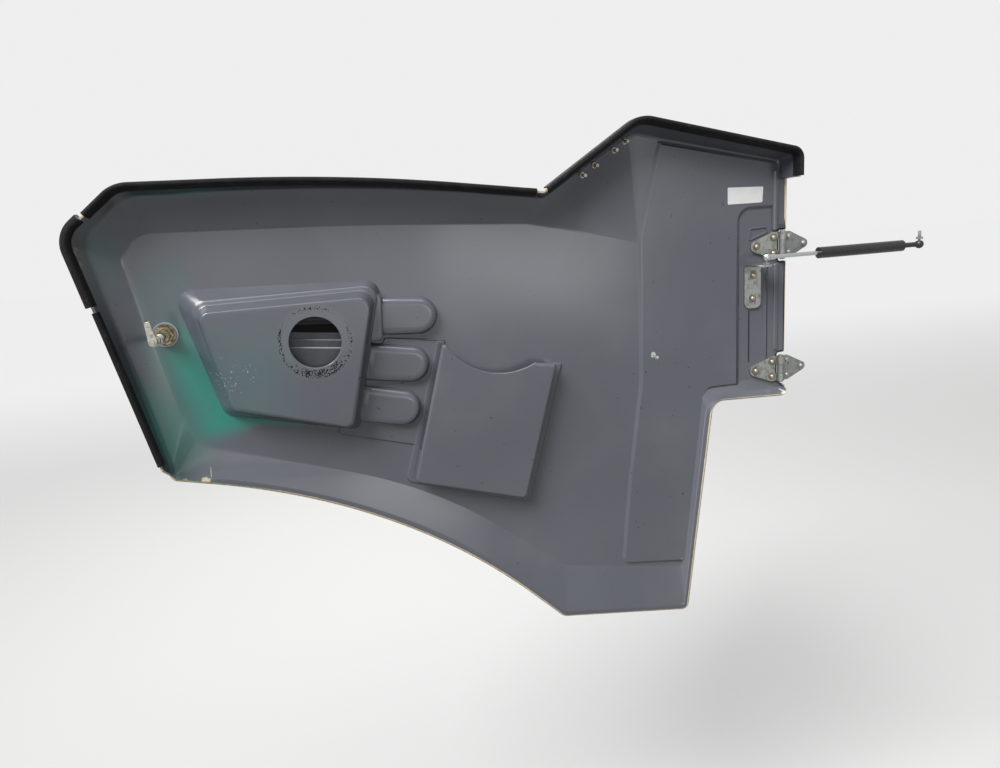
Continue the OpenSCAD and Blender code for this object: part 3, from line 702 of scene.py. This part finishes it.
def edge_profile(base_y, crown_y, radius, draft=0.0, steps=5):
    """A profile with a rounded upper edge."""
    out = [(0.0, base_y)]
    for a in np.linspace(0, math.pi / 2, steps + 1):
        out.append((draft + radius * (1 - math.cos(a)), crown_y + radius * (1 - math.sin(a))))
    return out


def polygon(corners, steps=8):
    xz = np.array([c[:2] for c in corners], dtype=float)
    return outline(xz, [c[2] for c in corners], [steps] * len(corners))[0]


DOUBLER_CORNERS = [(-214, -524, 2), (-170, -178, 20), (-160, -152, 14), (-92, -152, 4), (-92, 200, 24),
                   (-7, 200, 4), (-7, 286, 14), (-257, 336, 4), (-302, 160, 10), (-306, -120, 300),
                   (-336, -323, 400), (-357, -507, 16)]

# The intake box at its depths: share of its height, then x, z and radius of each corner in turn:
# lower inner, upper inner, upper outer, lower outer.
BOX_H = 45.0
BOX_LEVELS = [
    (0.00, [(-862, -150, 14), (-795, 122, 22), (-1150, 134, 26), (-1094, -94, 26)]),
    (0.52, [(-866, -143, 14), (-800, 117, 24), (-1122, 113, 24), (-1086, -85, 22)]),
    (0.60, [(-867.4, -141.2, 14), (-808, 108, 22), (-1114, 104, 20), (-1083, -83, 20)]),
    (0.94, [(-873, -134.5, 14), (-815, 99, 22), (-1108, 96, 16), (-1072, -77.5, 18)]),
    (1.00, [(-877, -130.5, 12), (-818, 96, 20), (-1105, 93, 14), (-1067, -73.5, 16)])]
PORT = (-921.0, 27.0)
PORT_R = 44.5


def box_rings(inset, height, soften):
    levels = []
    for share, corners in BOX_LEVELS:
        xz = np.array([c[:2] for c in corners], dtype=float)
        points = inset_outline(xz, [c[2] for c in corners], inset, [9] * 4)
        levels.append(with_y(points, FIELD - height * share))
    crown = levels[-1]
    deeper = crown + unit_rows(crown.mean(axis=0) - crown) * 8.0
    rings = [levels[0]]
    for below, level, above, reach in zip(levels, levels[1:-1], levels[2:], soften):
        rings += fillet(below, level, above, reach, 3)
    return rings + fillet(levels[-2], crown, deeper, soften[-1], 5) + [deeper]


def make_box(material):
    wall = 4.0
    outer = box_rings(0.0, BOX_H, [3.6, 2.2, 2.0, 2.6])
    inner = box_rings(wall, BOX_H - wall, [3.0, 2.0, 2.0, 2.0])
    n = len(outer[0])
    start = len(outer) * n
    faces = stack_rings(outer) + [[start + v for v in f] for f in stack_rings(inner)]
    faces += [[i, (i + 1) % n, start + (i + 1) % n, start + i] for i in range(n)]
    hole = circle(PORT, PORT_R, 72)
    rings = [with_y(inset_ring(hole, -1.0), FIELD - BOX_H), with_y(hole, FIELD - BOX_H + 1.0),
             with_y(hole, FIELD - BOX_H + wall)]
    offset = start + len(inner) * n
    end = offset + 3 * len(hole)
    points = np.vstack(outer + inner + rings)
    faces += [[offset + v for v in f] for f in stack_rings(rings)]
    faces += fill_loops(points, [list(range(start - n, start)), list(range(offset, offset + len(hole)))])
    faces += fill_loops(points, [list(range(offset - n, offset)), list(range(end - len(hole), end))])
    return solid("intake_cover", points, faces, 34, material)


POCKET_CORNERS = [(-560, -322, 10), (-484, -61, 6), (-520, -55, 6), (-676, -4, 8), (-699, -2, 6),
                  (-772, -258, 10)]
POCKET_FOOT = [(-547, -341, 14), (-466, -66, 4), (-484, -62, 3), (-510, -130, 8), (-680, -100, 8),
               (-690, 2, 3), (-706, 5, 4), (-789, -262, 14)]
SCOOP_AT, SCOOP_R = (-583.0, 59.0), 126.0
POCKET_H = 29.0


def cut(target, cutter):
    """Takes the cutter away from the target and removes the cutter."""
    modifier = target.modifiers.new("cut", "BOOLEAN")
    modifier.operation = "DIFFERENCE"
    modifier.solver = "EXACT"
    modifier.object = cutter
    bake(target)
    bpy.data.objects.remove(cutter)


def bake(obj):
    """Applies the object's modifiers to its mesh."""
    bpy.context.view_layer.update()
    depsgraph = bpy.context.evaluated_depsgraph_get()
    mesh = bpy.data.meshes.new_from_object(obj.evaluated_get(depsgraph))
    obj.modifiers.clear()
    obj.data = mesh


def make_pocket(material):
    wall, front = 4.0, FIELD - POCKET_H
    body = pad("pocket_front", polygon(POCKET_CORNERS), edge_profile(FIELD - 2, front, 5.0), material)
    inside = [(x + (wall if x < -620 else -wall), z + (wall if z < -200 else 60), r / 2)
              for x, z, r in POCKET_CORNERS]
    depth = [(0.0, FIELD + 1), (0.0, front + wall + 1.5), (1.5, front + wall)]
    cut(body, pad("cavity", polygon(inside), depth, material))
    depth = [(0.0, front + wall + 1), (0.0, front + 1.2), (-2.4, front - 1)]
    cut(body, pad("scoop", circle(SCOOP_AT, SCOOP_R, 120), depth, material))
    smooth_mesh(body.data, 40)
    foot = pad("pocket_foot", polygon(POCKET_FOOT), edge_profile(FIELD, FIELD - 3.6, 1.8, 1.4), material)
    return body, foot


def seal_path(start, corners_range, end, steps):
    """Points of the rim's outer edge between two stations; a station is (corner, distance past it)."""
    corners = CORNERS[:, [C_X, C_Z]]

    def station(corner, distance):
        a, b = corners[corner], corners[(corner + 1) % len(corners)]
        return a + unit(b - a) * distance

    points = [station(*start)]
    for i in corners_range:
        arc = rounded_corner(corners[i - 1], corners[i], corners[(i + 1) % len(corners)],
                             CORNERS[i, C_RADIUS], steps)
        points += list(arc)
    points.append(station(*end))
    dense = [points[0]]
    for a, b in zip(points, points[1:]):
        pieces = max(1, int(np.linalg.norm(b - a) // 14))
        dense += [a + (b - a) * k / pieces for k in range(1, pieces + 1)]
    return np.array(dense)


def seal_section(extra, bulb, lean):
    """The clip's and bulb's section: across from the rim's outer face, along Y from the rim's edge."""
    gap, clip, leg_out, leg_in = 0.3, 3.0, 15.0, 8.0
    inner = LAMINATE + 2 * gap
    hull = np.array([(-clip - extra, leg_out), (-clip - extra, -0.3 * bulb),
                     (-clip / 2 - extra / 2, -0.8 * bulb), (LAMINATE / 2, -bulb),
                     (LAMINATE + clip / 2, -0.8 * bulb), (LAMINATE + clip + gap, -0.3 * bulb),
                     (inner + lean * leg_in + clip - gap, leg_in)])
    ends = [(inner + lean * leg_in, leg_in), (inner, -gap), (-gap, -gap), (-gap, leg_out)]
    smooth = [hull[0]]
    for a, b, c in zip(hull, hull[1:], hull[2:]):
        start, end = (a + b) / 2, (b + c) / 2
        smooth += [start * (1 - t) ** 2 + b * 2 * t * (1 - t) + end * t * t for t in (0.0, 0.25, 0.5, 0.75)]
    return np.array(smooth + [hull[-1]] + ends)


def make_seal(name, path, section, material, seed):
    """Sweeps the section along the rim, a little lumpy as foam rubber is."""
    lumps, pace = 0.5, 0.9
    rng = random.Random(seed)
    forward = np.vstack([path[1] - path[0], path[1:] - path[:-1]])
    ahead = np.vstack([path[1:] - path[:-1], path[-1] - path[-2]])
    n1, n2 = left_of(unit(forward)), left_of(unit(ahead))
    side = (n1 + n2) / (1 + (n1 * n2).sum(axis=1))[:, None]
    phase = [rng.uniform(0, 6.28) for _ in range(4)]
    proud = section[:, 1] < -0.5
    rings = []
    for i, (place, across) in enumerate(zip(path, side)):
        s = i * pace
        swell = lumps * (0.5 * math.sin(s * 0.31 + phase[0]) + 0.3 * math.sin(s * 0.83 + phase[1]) - 0.5)
        shaped = section.copy()
        shaped[proud, 1] -= swell * (section[proud, 1] / section[:, 1].min())
        rings.append(with_y(place + across * shaped[:, :1], RIM + shaped[:, 1]))
    return tube(name, rings, 50, material)


# Fasteners by Geometry Nodes: a tree that sets a turned head on each point

FASTENER_INPUTS = ["Washer Radius", "Washer Height", "Head Radius", "Head Height"]


def fastener_tree(name, dome):
    """Washer and head on every point, pointing the way it faces; the inputs carry the sizes in metres."""
    group = bpy.data.node_groups.new(name, "GeometryNodeTree")
    sockets = [("Geometry", "Geometry"), *((label, "Float") for label in FASTENER_INPUTS),
               ("Finish", "Material")]
    for label, kind in sockets:
        group.interface.new_socket(label, in_out="INPUT", socket_type="NodeSocket" + kind)
    group.interface.new_socket("Geometry", in_out="OUTPUT", socket_type="NodeSocketGeometry")
    tree = Tree(group)
    source = group.nodes.new("NodeGroupInput")
    inputs = [Value(tree, source.outputs[label]) for label, _ in sockets]
    given, washer_r, washer_h, head_r, head_h, paint = inputs

    def lifted(geometry, height):
        up = tree.node("CombineXYZ", {}, {"Z": height})
        return tree.node("GeometryNodeTransform", {}, {"Geometry": geometry, "Translation": up})

    def cylinder(sides, radius, height):
        sizes = {"Vertices": sides, "Radius": radius, "Depth": height}
        return tree.node("GeometryNodeMeshCylinder", {}, sizes, "Mesh")

    washer = lifted(cylinder(32, washer_r, washer_h), washer_h * 0.5)
    if dome:
        sizes = {"Segments": 24, "Rings": 12, "Radius": head_r}
        ball = tree.node("GeometryNodeMeshUVSphere", {}, sizes, "Mesh")
        scale = tree.node("CombineXYZ", {}, [1.0, 1.0, head_h / head_r])
        flat = tree.node("GeometryNodeTransform", {}, {"Geometry": ball, "Scale": scale})
        head = lifted(flat, washer_h)
    else:
        head = lifted(cylinder(6, head_r, head_h), washer_h + head_h * 0.5)
    join = tree.node("GeometryNodeJoinGeometry", {}, [washer])
    tree.feed(join.socket.node.inputs[0], head)
    points = tree.node("GeometryNodeMeshToPoints", {}, {"Mesh": given})
    facing = tree.node("GeometryNodeInputNamedAttribute", {"data_type": "FLOAT_VECTOR"},
                       {"Name": "facing"}, "Attribute")
    turn = tree.node("FunctionNodeAlignRotationToVector", {"axis": "Z"}, {"Vector": facing})
    placed = tree.node("GeometryNodeInstanceOnPoints", {},
                       {"Points": points, "Instance": join, "Rotation": turn})
    real = tree.node("GeometryNodeRealizeInstances", {}, [placed])
    painted = tree.node("GeometryNodeSetMaterial", {}, {"Geometry": real, "Material": paint})
    tree.feed(group.nodes.new("NodeGroupOutput").inputs[0], painted)
    return group


def fasteners(name, tree, seats, body, material, washer, head):
    """seats lists (point, facing) in pin millimetres; washer and head are radius and height."""
    mesh = bpy.data.meshes.new(name)
    mesh.from_pydata([tuple(metres(p)) for p, _ in seats], [], [])
    facing = mesh.attributes.new("facing", "FLOAT_VECTOR", "POINT")
    facing.data.foreach_set("vector", np.array([f for _, f in seats], dtype=float).ravel())
    obj = add_object(name, mesh)
    modifier = obj.modifiers.new("fasteners", "NODES")
    modifier.node_group = tree
    given = dict(zip(FASTENER_INPUTS, [size / 1000 for size in (*washer, *head)]), Finish=material)
    for item in tree.interface.items_tree:
        if item.in_out == "INPUT" and item.name in given:
            modifier[item.identifier] = given[item.name]
    bake(obj)
    smooth_mesh(obj.data, 35)
    return finished(obj, body, "zinc_steel")


def lathe(name, profile, axis_point, axis, material, steps, angle=35):
    """Turns a profile of (radius, height along the axis) about an axis through a point, in pin mm."""
    axis = np.array(axis, dtype=float) / np.linalg.norm(axis)
    helper = np.array([0.0, 0.0, 1.0]) if abs(axis[2]) < 0.9 else np.array([1.0, 0.0, 0.0])
    u = np.cross(axis, helper)
    u = u / np.linalg.norm(u)
    v = np.cross(axis, u)
    ring = np.array([u * x + v * y for x, y in circle((0.0, 0.0), 1.0, steps)])
    rings = [np.array(axis_point) + axis * height + ring * radius for radius, height in profile]
    return tube(name, rings, angle, material)


# The materials

gelcoat = grey_gelcoat("grey_gelcoat", 0.9, painted_shade_behind_port, worn_edge_and_painted_light)
gelcoat_pad = grey_gelcoat("grey_gelcoat_pads", 0.0, painted_shade_behind_port, chips)
gelcoat_box = grey_gelcoat("grey_gelcoat_box", 0.14, port_grime)
green = green_paint()
edge_cream = laminate_edge()
rubber = seal_rubber("foam_rubber", 0.8)
rubber_side = seal_rubber("foam_rubber_dusty", 1.0)
zinc = metal("dull_zinc", (0.31, 0.325, 0.31), 0.36, 0.85, STAIN, 0.6)
zinc_grey = metal("flat_zinc", (0.24, 0.25, 0.25), 0.44, 0.7, (0.10, 0.09, 0.07), 0.5)
latch_gold = latch_plating("latch_gold")
lever_zinc = metal("lever_zinc", (0.44, 0.44, 0.39), 0.34, 0.8, STAIN, 0.8)
washer_brown = metal("washer_brown", (0.22, 0.19, 0.14), 0.42, 0.8, (0.08, 0.055, 0.035), 0.2)
bolt_zinc = metal("bolt_zinc", (0.42, 0.39, 0.33), 0.28, 0.8, (0.15, 0.11, 0.07), 0.15)
chrome = metal("rod_chrome", (0.46, 0.47, 0.48), 0.16, 0.1, (0.30, 0.26, 0.20))
label_white = plain("label_white", (0.84, 0.84, 0.83), 0.4, 0.95)
slat_black = plain("slat_black", (0.02, 0.021, 0.022), 0.5)
# Painted shade for the ledges inside the intake box, and a painted highlight for their chamfers.
chamber_painted_shade = plain("chamber_painted_shade", (0.050, 0.053, 0.062), 0.42)
ledge_painted_highlight = plain("ledge_painted_highlight", (0.26, 0.27, 0.31), 0.36, 0.95)
tube_black = plain("tube_black", (0.012, 0.012, 0.013), 0.30, speckle=0.1)
handle_black = plain("handle_black", (0.02, 0.02, 0.021), 0.45, speckle=0.1)

# The moulding

skin = finished(make_skin(gelcoat, edge_cream, green), "door", "gelcoat_grey", "door_shell")
ledge = [(-2.0, FIELD), (-1.0, FIELD - 0.35), (0.0, FIELD - 0.9), (3.0, DOUBLER + 0.9), (4.0, DOUBLER + 0.3),
         (5.2, DOUBLER)]
doubler = pad("hinge_pad", polygon(DOUBLER_CORNERS), ledge, gelcoat_pad)
finished(doubler, "door", "gelcoat_grey", "hinge_doubler")
finished(make_box(gelcoat_box), "door", "gelcoat_grey", "intake_box")
for pocket_piece in make_pocket(gelcoat_pad):
    finished(pocket_piece, "door", "gelcoat_grey", "document_pocket")

# Thin forms of the moulding that lie on the field

PATCH = [(-905, -152, 6), (-752, -196, 2), (-690, 4, 2), (-800, 18, 6)]
EMBOSS = [(-70, 137, 2), (-27, 152, 2), (-30, 165, 2), (-69, 163, 2)]
LABEL = [(-117, 211, 2), (-43, 211, 2), (-41, 241, 2), (-117, 243, 2)]
# Upright bars: name, left and right edge, lower and upper end, height, radius of the edge, draft.
BARS = [
    ("inner_bead", (-71.5, -68.0, -106, 2), 1.6, 1.6, 0.2),
    ("outer_bead", (-32.0, -28.0, -104, 96), 1.8, 1.8, 0.0),
    ("edge_bead", (-14, -4, -88, 90), 2.4, 2.4, 0.0),
    ("pad_rib", (-20, -9, 153, 272), 6.6, 4.0, 0.0)]
COLLAR = [(-830, 12, 4), (-802, 16, 9), (-797, 94, 16), (-822, 115, 12), (-880, 113, 4), (-880, 60, 4)]
BAY_CROWN = 17.0


def bar_outline(left, right, low, high):
    """Corners of an upright bar with rounded ends."""
    r = (right - left) * 0.45
    return [(left, low, r), (right, low, r), (right, high, r), (left, high, r)]


def frame_pad(name, corners, width, height, material):
    """A raised line of the given width and height along a closed outline."""
    ring = distinct(polygon(corners, 5))
    crown, sunk = FIELD - height, FIELD + 0.2
    profile = [(0.0, FIELD), (0.25 * width, crown), (0.75 * width, crown), (width, FIELD), (width, sunk),
               (0.0, sunk)]
    rings = [with_y(inset_ring(ring, inset), y) for inset, y in profile]
    return solid(name, np.vstack(rings), stack_rings(rings, closed=True), 60, material)


def make_crown(bay, reach, material):
    """A fuller crown on a bay, from its outer end to inside the intake box's wall."""
    draft, spread, drop, wider = 1.6, 14.0, 10.0, 3.4
    profile = [(0.0, FIELD)]
    for a in np.linspace(0.0, math.pi / 2, 10):
        profile.append((draft + spread * (1 - math.cos(a)), FIELD - BAY_CROWN + drop * (1 - math.sin(a))))
    along, up = bay_axes(bay)
    centre, r = np.array(bay[:2]), BAY_OPEN_R + wider
    angles = np.radians(np.linspace(-90, 90, 33))
    points = [centre + (along * math.cos(a) + up * math.sin(a)) * r for a in angles]
    points += [centre - along * reach + up * r, centre - along * reach - up * r]
    return pad("bay_crown", np.array(points), profile, material, 50)


def make_sill(face, corner):
    """Stepped ledges inside the intake box, seen through the port: painted shade on their flats and a
    painted highlight on their upward chamfers.
    """
    profile = [(6.0, 41), (-8.6, 41), (-9.4, 40), (-9.4, 29.6), (-11.6, 29.6), (-13.4, 27.6), (-13.4, 16),
               (-15.6, 16), (-17.4, 13.8), (-17.4, -22), (6.0, -22)]
    ends, fall = (-990.0, -856.0), 0.11
    rings = [np.array([[x, y, z - (x - PORT[0]) * fall] for y, z in profile]) for x in ends]
    ledges = tube("chamber_ledges", rings, 20, face, corner)
    # The chamfers that face upward take the second material, a painted highlight.
    for polygon_face in ledges.data.polygons:
        if 0.3 < polygon_face.normal.z < 0.95:
            polygon_face.material_index = 1
    return ledges


def make_slats(material):
    """Sloping slats across each bay's opening, at the door's outer face."""
    points, faces = [], []
    pitch, depth, thick, lean = 8.0, 9.0, 1.4, 8.5
    for bay in BAYS:
        along, up = bay_axes(bay)
        for k in range(7):
            top = 29.0 - k * pitch
            base = len(points)
            for at_outer_end in (True, False):
                for a, b in ((0, 0), (depth, -lean), (depth, -lean - thick), (0, -thick)):
                    reach = math.sqrt(max(4.0, BAY_OPEN_R ** 2 - (top + b) ** 2)) + 0.5
                    shift = reach if at_outer_end else -bay[3] - reach
                    x, z = np.array(bay[:2]) + along * shift + up * (top + b)
                    points.append([x, OUTER - 0.4 - depth + a, z])
            faces += [[base + q, base + (q + 1) % 4, base + 4 + (q + 1) % 4, base + 4 + q] for q in range(4)]
            faces += [[base, base + 1, base + 2, base + 3], [base + 7, base + 6, base + 5, base + 4]]
    return solid("bay_slats", np.array(points), faces, 38, material)


thin_forms = [
    pad("field_patch", polygon(PATCH), edge_profile(FIELD, FIELD - 2.6, 1.4, 1.2), gelcoat_pad),
    frame_pad("hinge_emboss", EMBOSS, 3.6, 2.0, gelcoat_pad)]
for bar_name, bar, height, radius, draft in BARS:
    profile = edge_profile(FIELD, FIELD - height, radius, draft)
    thin_forms.append(pad(bar_name, polygon(bar_outline(*bar)), profile, gelcoat_pad))
thin_forms.append(pad("blank_label", polygon(LABEL), [(0.0, DOUBLER), (0.0, DOUBLER - 0.25)], label_white))
thin_forms += [make_crown(bay, reach, gelcoat_pad) for bay, reach in zip(BAYS, (88.0, 84.0, 80.0))]
thin_forms += [pad("box_collar", polygon(COLLAR), edge_profile(FIELD, FIELD - 22.0, 5.0, 1.0), gelcoat_pad),
               make_sill(chamber_painted_shade, ledge_painted_highlight), make_slats(slat_black)]
for form in thin_forms:
    finished(form, "door", "gelcoat_grey")

# Seals: CAD node, first station, corners, last station, steps in a corner, section, seed.

SEALS = [
    ("seal_top", (VALLEY, 14), [TOP, TOP_CORNER], (TOP_CORNER, 66), 18, (-0.2, 11.5, 0.36), 3),
    ("seal_corner", (TOP_CORNER, 76), [FREE_CORNER], (FREE_CORNER, 118), 14, (4.7, 11.5, 0.1), 5),
    ("seal_side", (FREE_CORNER, 128), [], (FREE_CORNER, 404), 4, (-1, 5.75, 0.1), 7),
    ("seal_hump", (END_OF_RIM, 1), [HUMP_SIDE, PEAK], (PEAK, 213.5), 18, (-0.3, 11.5, 0.4), 9)]
for node_name, start, corners, end, steps, section, seed in SEALS:
    foam = rubber_side if node_name == "seal_side" else rubber
    path = seal_path(start, corners, end, steps)
    seal = make_seal("rim_" + node_name, path, seal_section(*section), foam, seed)
    finished(seal, "door", "seal_rubber", node_name)

# The strut's bracket, bent from one strip of plate

def make_bracket(material):
    """A strip up the door's face, over a bend and out to the stud, with rounded ends and a stud hole."""
    thick, width, bend, round_r, lip = 4.0, 36.0, 5.0, 12.0, 0.5
    low, top, tip = 4.0, 93.0, -48.0
    x_mid, hole_r = -62.0, 4.2
    half, middle = thick / 2, bend + thick / 2
    upright, arc, flat = top - low - bend - thick, middle * math.pi / 2, FIELD - thick - bend - tip
    total = upright + arc + flat
    bend_y, bend_z = FIELD - thick - bend, low + upright

    def place(s, side):
        """The point at length s; side is how far it lies off the plate's middle."""
        if s <= upright:
            return FIELD - half - side, low + s
        if s <= upright + arc:
            a = (s - upright) / middle
            return bend_y + (middle - side) * math.cos(a), bend_z + (middle - side) * math.sin(a)
        return bend_y - (s - upright - arc), top - half - side

    def half_width(s):
        d = min(s, total - s)
        if d >= round_r:
            return width / 2
        return width / 2 - round_r + math.sqrt(max(0.0, round_r ** 2 - (round_r - d) ** 2))

    near = [round_r * (1 - math.cos(a)) for a in np.linspace(0.25, math.pi / 2, 7)]
    stations = near + list(np.linspace(round_r, upright, 6)[1:]) + list(upright + np.linspace(0, arc, 7)[1:])
    stations += list(np.linspace(upright + arc, total - round_r, 4)[1:])
    stations += [total - d for d in near[::-1][1:]]
    rings = []
    for s in stations:
        w = half_width(s)
        section = ((lip - w, half), (w - lip, half), (w, half - lip), (w, lip - half),
                   (w - lip, -half), (lip - w, -half), (-w, lip - half), (-w, half - lip))
        rings.append(np.array([(x_mid + across, *place(s, side)) for across, side in section]))
    bracket = tube("bent_bracket", rings, 40, material)
    stud = (*BALL_A, top - 3)
    cut(bracket, lathe("stud_hole", [(hole_r, -4), (hole_r, 6)], stud, (0, 0, 1), material, 32))
    smooth_mesh(bracket.data, 40)
    return bracket


finished(make_bracket(zinc), "door", "zinc_steel", "strut_bracket")

# The latch's spindle and cam lever

def make_lever(material):
    """A tapered lever on a threaded spindle, with a hexagon head on its face and a lock nut behind."""
    back, front = FIELD - 83.0, FIELD - 87.5
    low = np.array([LATCH[0] - 1.0, LATCH[1] - 0.5])
    high = np.array([LATCH[0] - 5.5, LATCH[1] + 32.0])
    lean = unit(high - low)
    side = left_of(lean)
    wide, narrow = 8.0, 4.4
    foot = low - lean * 7.4
    corners = ((foot - side * wide, 6.5), (high - side * narrow, 2.0),
               (high + side * narrow, 2.0), (foot + side * wide, 6.5))
    plate = polygon([(*c, r) for c, r in corners], 6)
    levels = [(0.6, back), (0.0, back - 0.6), (0.0, front + 0.8), (0.8, front)]
    yield pad("cam_lever", plate, levels, material, 40)
    hexagon = polygon([(*c, 0.4) for c in circle(low, 5.6, 6)], 2)
    yield pad("cam_head", hexagon, [(0.0, front), (0.0, front - 2.4), (0.9, front - 3.2)], material, 30)
    thread = [(6.0, 0.0)]
    for turn in range(60):
        thread += [(5.2, 55.0 + turn * 0.8), (6.0, 55.4 + turn * 0.8)]
    thread += [(6.0, 103.4)]
    yield lathe("cam_spindle", thread, (LATCH[0], OUTER + 8.0, LATCH[1]), (0, -1, 0), material, 32, 25)
    nut = polygon([(*c, 0.6) for c in circle(LATCH, 10.0, 6, 0.3)], 2)
    levels = [(1.2, back + 9), (0.0, back + 8.2), (0.0, back + 0.8), (1.2, back)]
    yield pad("cam_nut", nut, levels, material, 30)


for piece in make_lever(lever_zinc):
    finished(piece, "door", "yellow_zinc", "latch_spindle")

# CAD pieces that keep their shape get their finish, and the metal and handle pieces slightly broken edges

FINISHES = {"air_bays": gelcoat_pad, "door_leaf_upper": zinc, "door_leaf_lower": zinc,
            "hinge_pin_upper": zinc, "hinge_pin_lower": zinc, "fixed_leaf_upper": zinc_grey,
            "fixed_leaf_lower": zinc_grey, "latch_body": latch_gold, "latch_handle": handle_black,
            "strut_rod": chrome, "rod_ball_stud": zinc, "strut_tube": tube_black, "rail_ball_stud": zinc}
for node_name, material in FINISHES.items():
    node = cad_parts[node_name]
    node.data.materials.clear()
    node.data.materials.append(material)
    if material in (zinc, zinc_grey, latch_gold, handle_black):
        bevel = node.modifiers.new("broken_edges", "BEVEL")
        bevel.width = 0.0006
        bevel.segments = 2
        bevel.limit_method = "ANGLE"
        bevel.angle_limit = math.radians(50)
        bevel.harden_normals = False

# Screws

IN = (0, -1, 0)
HUMP_SCREWS = [(-413, 282), (-388, 298), (-347, 323), (-325, 338)]
leaf_front = FIELD - LEAF
dome_tree = fastener_tree("dome_screws", True)
hex_tree = fastener_tree("hex_screws", False)


def seats_on_skin(places, from_outside):
    """Points and outward directions where rays along Y from the given X and Z meet the skin."""
    found = []
    for x, z in places:
        start = metres((x, 90.0 if from_outside else -90.0, z))
        direction = (0.0, -1.0 if from_outside else 1.0, 0.0)
        hit, point, normal, _ = skin.ray_cast(Vector(start), Vector(direction))
        if hit:
            found.append((np.array(point) * 1000.0 - PIN, tuple(normal)))
    return found


def leaf_seats(outer_x, inner_x):
    """Three screws in each hinge leaf: one far from the pin and two beside the knuckle."""
    return [((x, leaf_front, z + up), IN) for z in (-HINGE_Z, HINGE_Z)
            for x, up in ((outer_x, 0.0), (inner_x, 15.5), (inner_x, -15.5))]


door_seats = leaf_seats(-55, -18) + [((-61, leaf_front, 70), IN), ((-63, leaf_front, 24), IN)]
nut_seats, dome_seats = seats_on_skin(HUMP_SCREWS, False), seats_on_skin(HUMP_SCREWS, True)
for screws in (
        ("door_washers", dome_tree, door_seats, "door", washer_brown, (7.4, 1.4), (4.0, 1.0)),
        ("door_screws", dome_tree, door_seats, "door", bolt_zinc, (4.6, 1.9), (4.9, 3.6)),
        ("post_leaf_screws", dome_tree, leaf_seats(49, 16), "pillar_side", zinc, (6.6, 1.2), (4.9, 3.2)),
        ("hump_nuts", hex_tree, nut_seats, "door", bolt_zinc, (5.2, 1.2), (3.4, 12.0)),
        ("hump_domes", dome_tree, dome_seats, "door", bolt_zinc, (6.5, 1.0), (5.0, 2.6))):
    fasteners(*screws)

# Floor, light and camera

FLOOR_Z = -1.45
CAMERA_AT = (-0.9087, -1.3440, 0.2111)
CAMERA_RIGHT = Vector((0.97523, -0.21026, -0.06867))
CAMERA_UP = Vector((0.11135, 0.19845, 0.97376))
LENS = 26.39


def shown_ray(tree):
    """1 for rays that show the background: from the camera, in a reflection or through glass."""
    kinds = ("Is Camera Ray", "Is Glossy Ray", "Is Transmission Ray")
    camera, glossy, through = [tree.node("LightPath", {}, {}, kind) for kind in kinds]
    return camera.most(glossy).most(through)


def make_floor():
    """A pale floor; what bounces off it on to the door is weaker than what the camera sees."""
    mesh = bpy.data.meshes.new("floor")
    corners = [(x, y, FLOOR_Z) for x, y in ((-30, -30), (30, -30), (30, 30), (-30, 30))]
    mesh.from_pydata(corners, [], [(0, 1, 2, 3)])
    finish = Finish("floor_paint")
    far = finish.axis(1).step(2.0, 9.0)
    finish.set(Base_Color=finish.mix(far, (0.66, 0.66, 0.65), (0.92, 0.92, 0.91)), Roughness=0.9,
               Specular_IOR_Level=0.0)
    dim = finish.node("BsdfDiffuse", {}, {"Color": (0.13, 0.13, 0.13)})
    finish.show_mix(shown_ray(finish), dim, finish.surface)
    add_object("floor", mesh, finish.material)


def make_world():
    world = bpy.data.worlds.new("studio")
    bpy.context.scene.world = world
    world.use_nodes = True
    tree = Tree(world.node_tree)
    light = tree.node("Background", {}, [(0.80, 0.87, 1.0), 0.05])
    shown = tree.node("Background", {}, [(0.86, 0.86, 0.86), 1.0])
    mix = tree.node("MixShader", {}, [shown_ray(tree), light, shown])
    tree.feed(world.node_tree.nodes.new("ShaderNodeOutputWorld").inputs[0], mix)


def lamp(name, kind, place, target, power, **settings):
    data = bpy.data.lights.new(name, kind)
    data.energy = power
    for key, value in settings.items():
        setattr(data, key, value)
    obj = bpy.data.objects.new(name, data)
    obj.location = place
    obj.rotation_euler = (Vector(target) - Vector(place)).to_track_quat("-Z", "Y").to_euler()
    bpy.context.scene.collection.objects.link(obj)


def make_camera():
    data = bpy.data.cameras.new("camera")
    data.lens = LENS
    data.sensor_width = 36.0
    data.clip_start = 0.05
    camera = bpy.data.objects.new("camera", data)
    back = CAMERA_RIGHT.cross(CAMERA_UP)
    turn = Matrix((CAMERA_RIGHT, CAMERA_UP, back)).transposed()
    camera.matrix_world = Matrix.Translation(CAMERA_AT) @ turn.to_4x4()
    bpy.context.scene.collection.objects.link(camera)
    bpy.context.scene.camera = camera


make_floor()
make_world()
make_camera()
lamp("sky", "SUN", (0, 0, 0), (0.56, 0.42, -0.71), 3.9, angle=math.radians(32.0))
for name, place, target, width, depth, power in (
        ("card", (-0.4, -5.0, 0.1), (-0.4, 0.0, 0.0), 4.4, 1.7, 22.0),
        ("haze", (0.1, -2.7, 0.05), (-0.5, 0.0, 0.1), 1.0, 0.6, 4.0),
        ("over", (-0.7, -1.4, 2.6), (-0.7, 0.0, 0.0), 2.8, 1.2, 34.0),
        ("back", (-1.0, 3.2, 1.8), (-0.6, 0.0, 0.0), 2.4, 1.6, 60.0)):
    lamp(name, "AREA", place, target, power, shape="RECTANGLE", size=width, size_y=depth)
bpy.context.scene.view_settings.view_transform = "Standard"
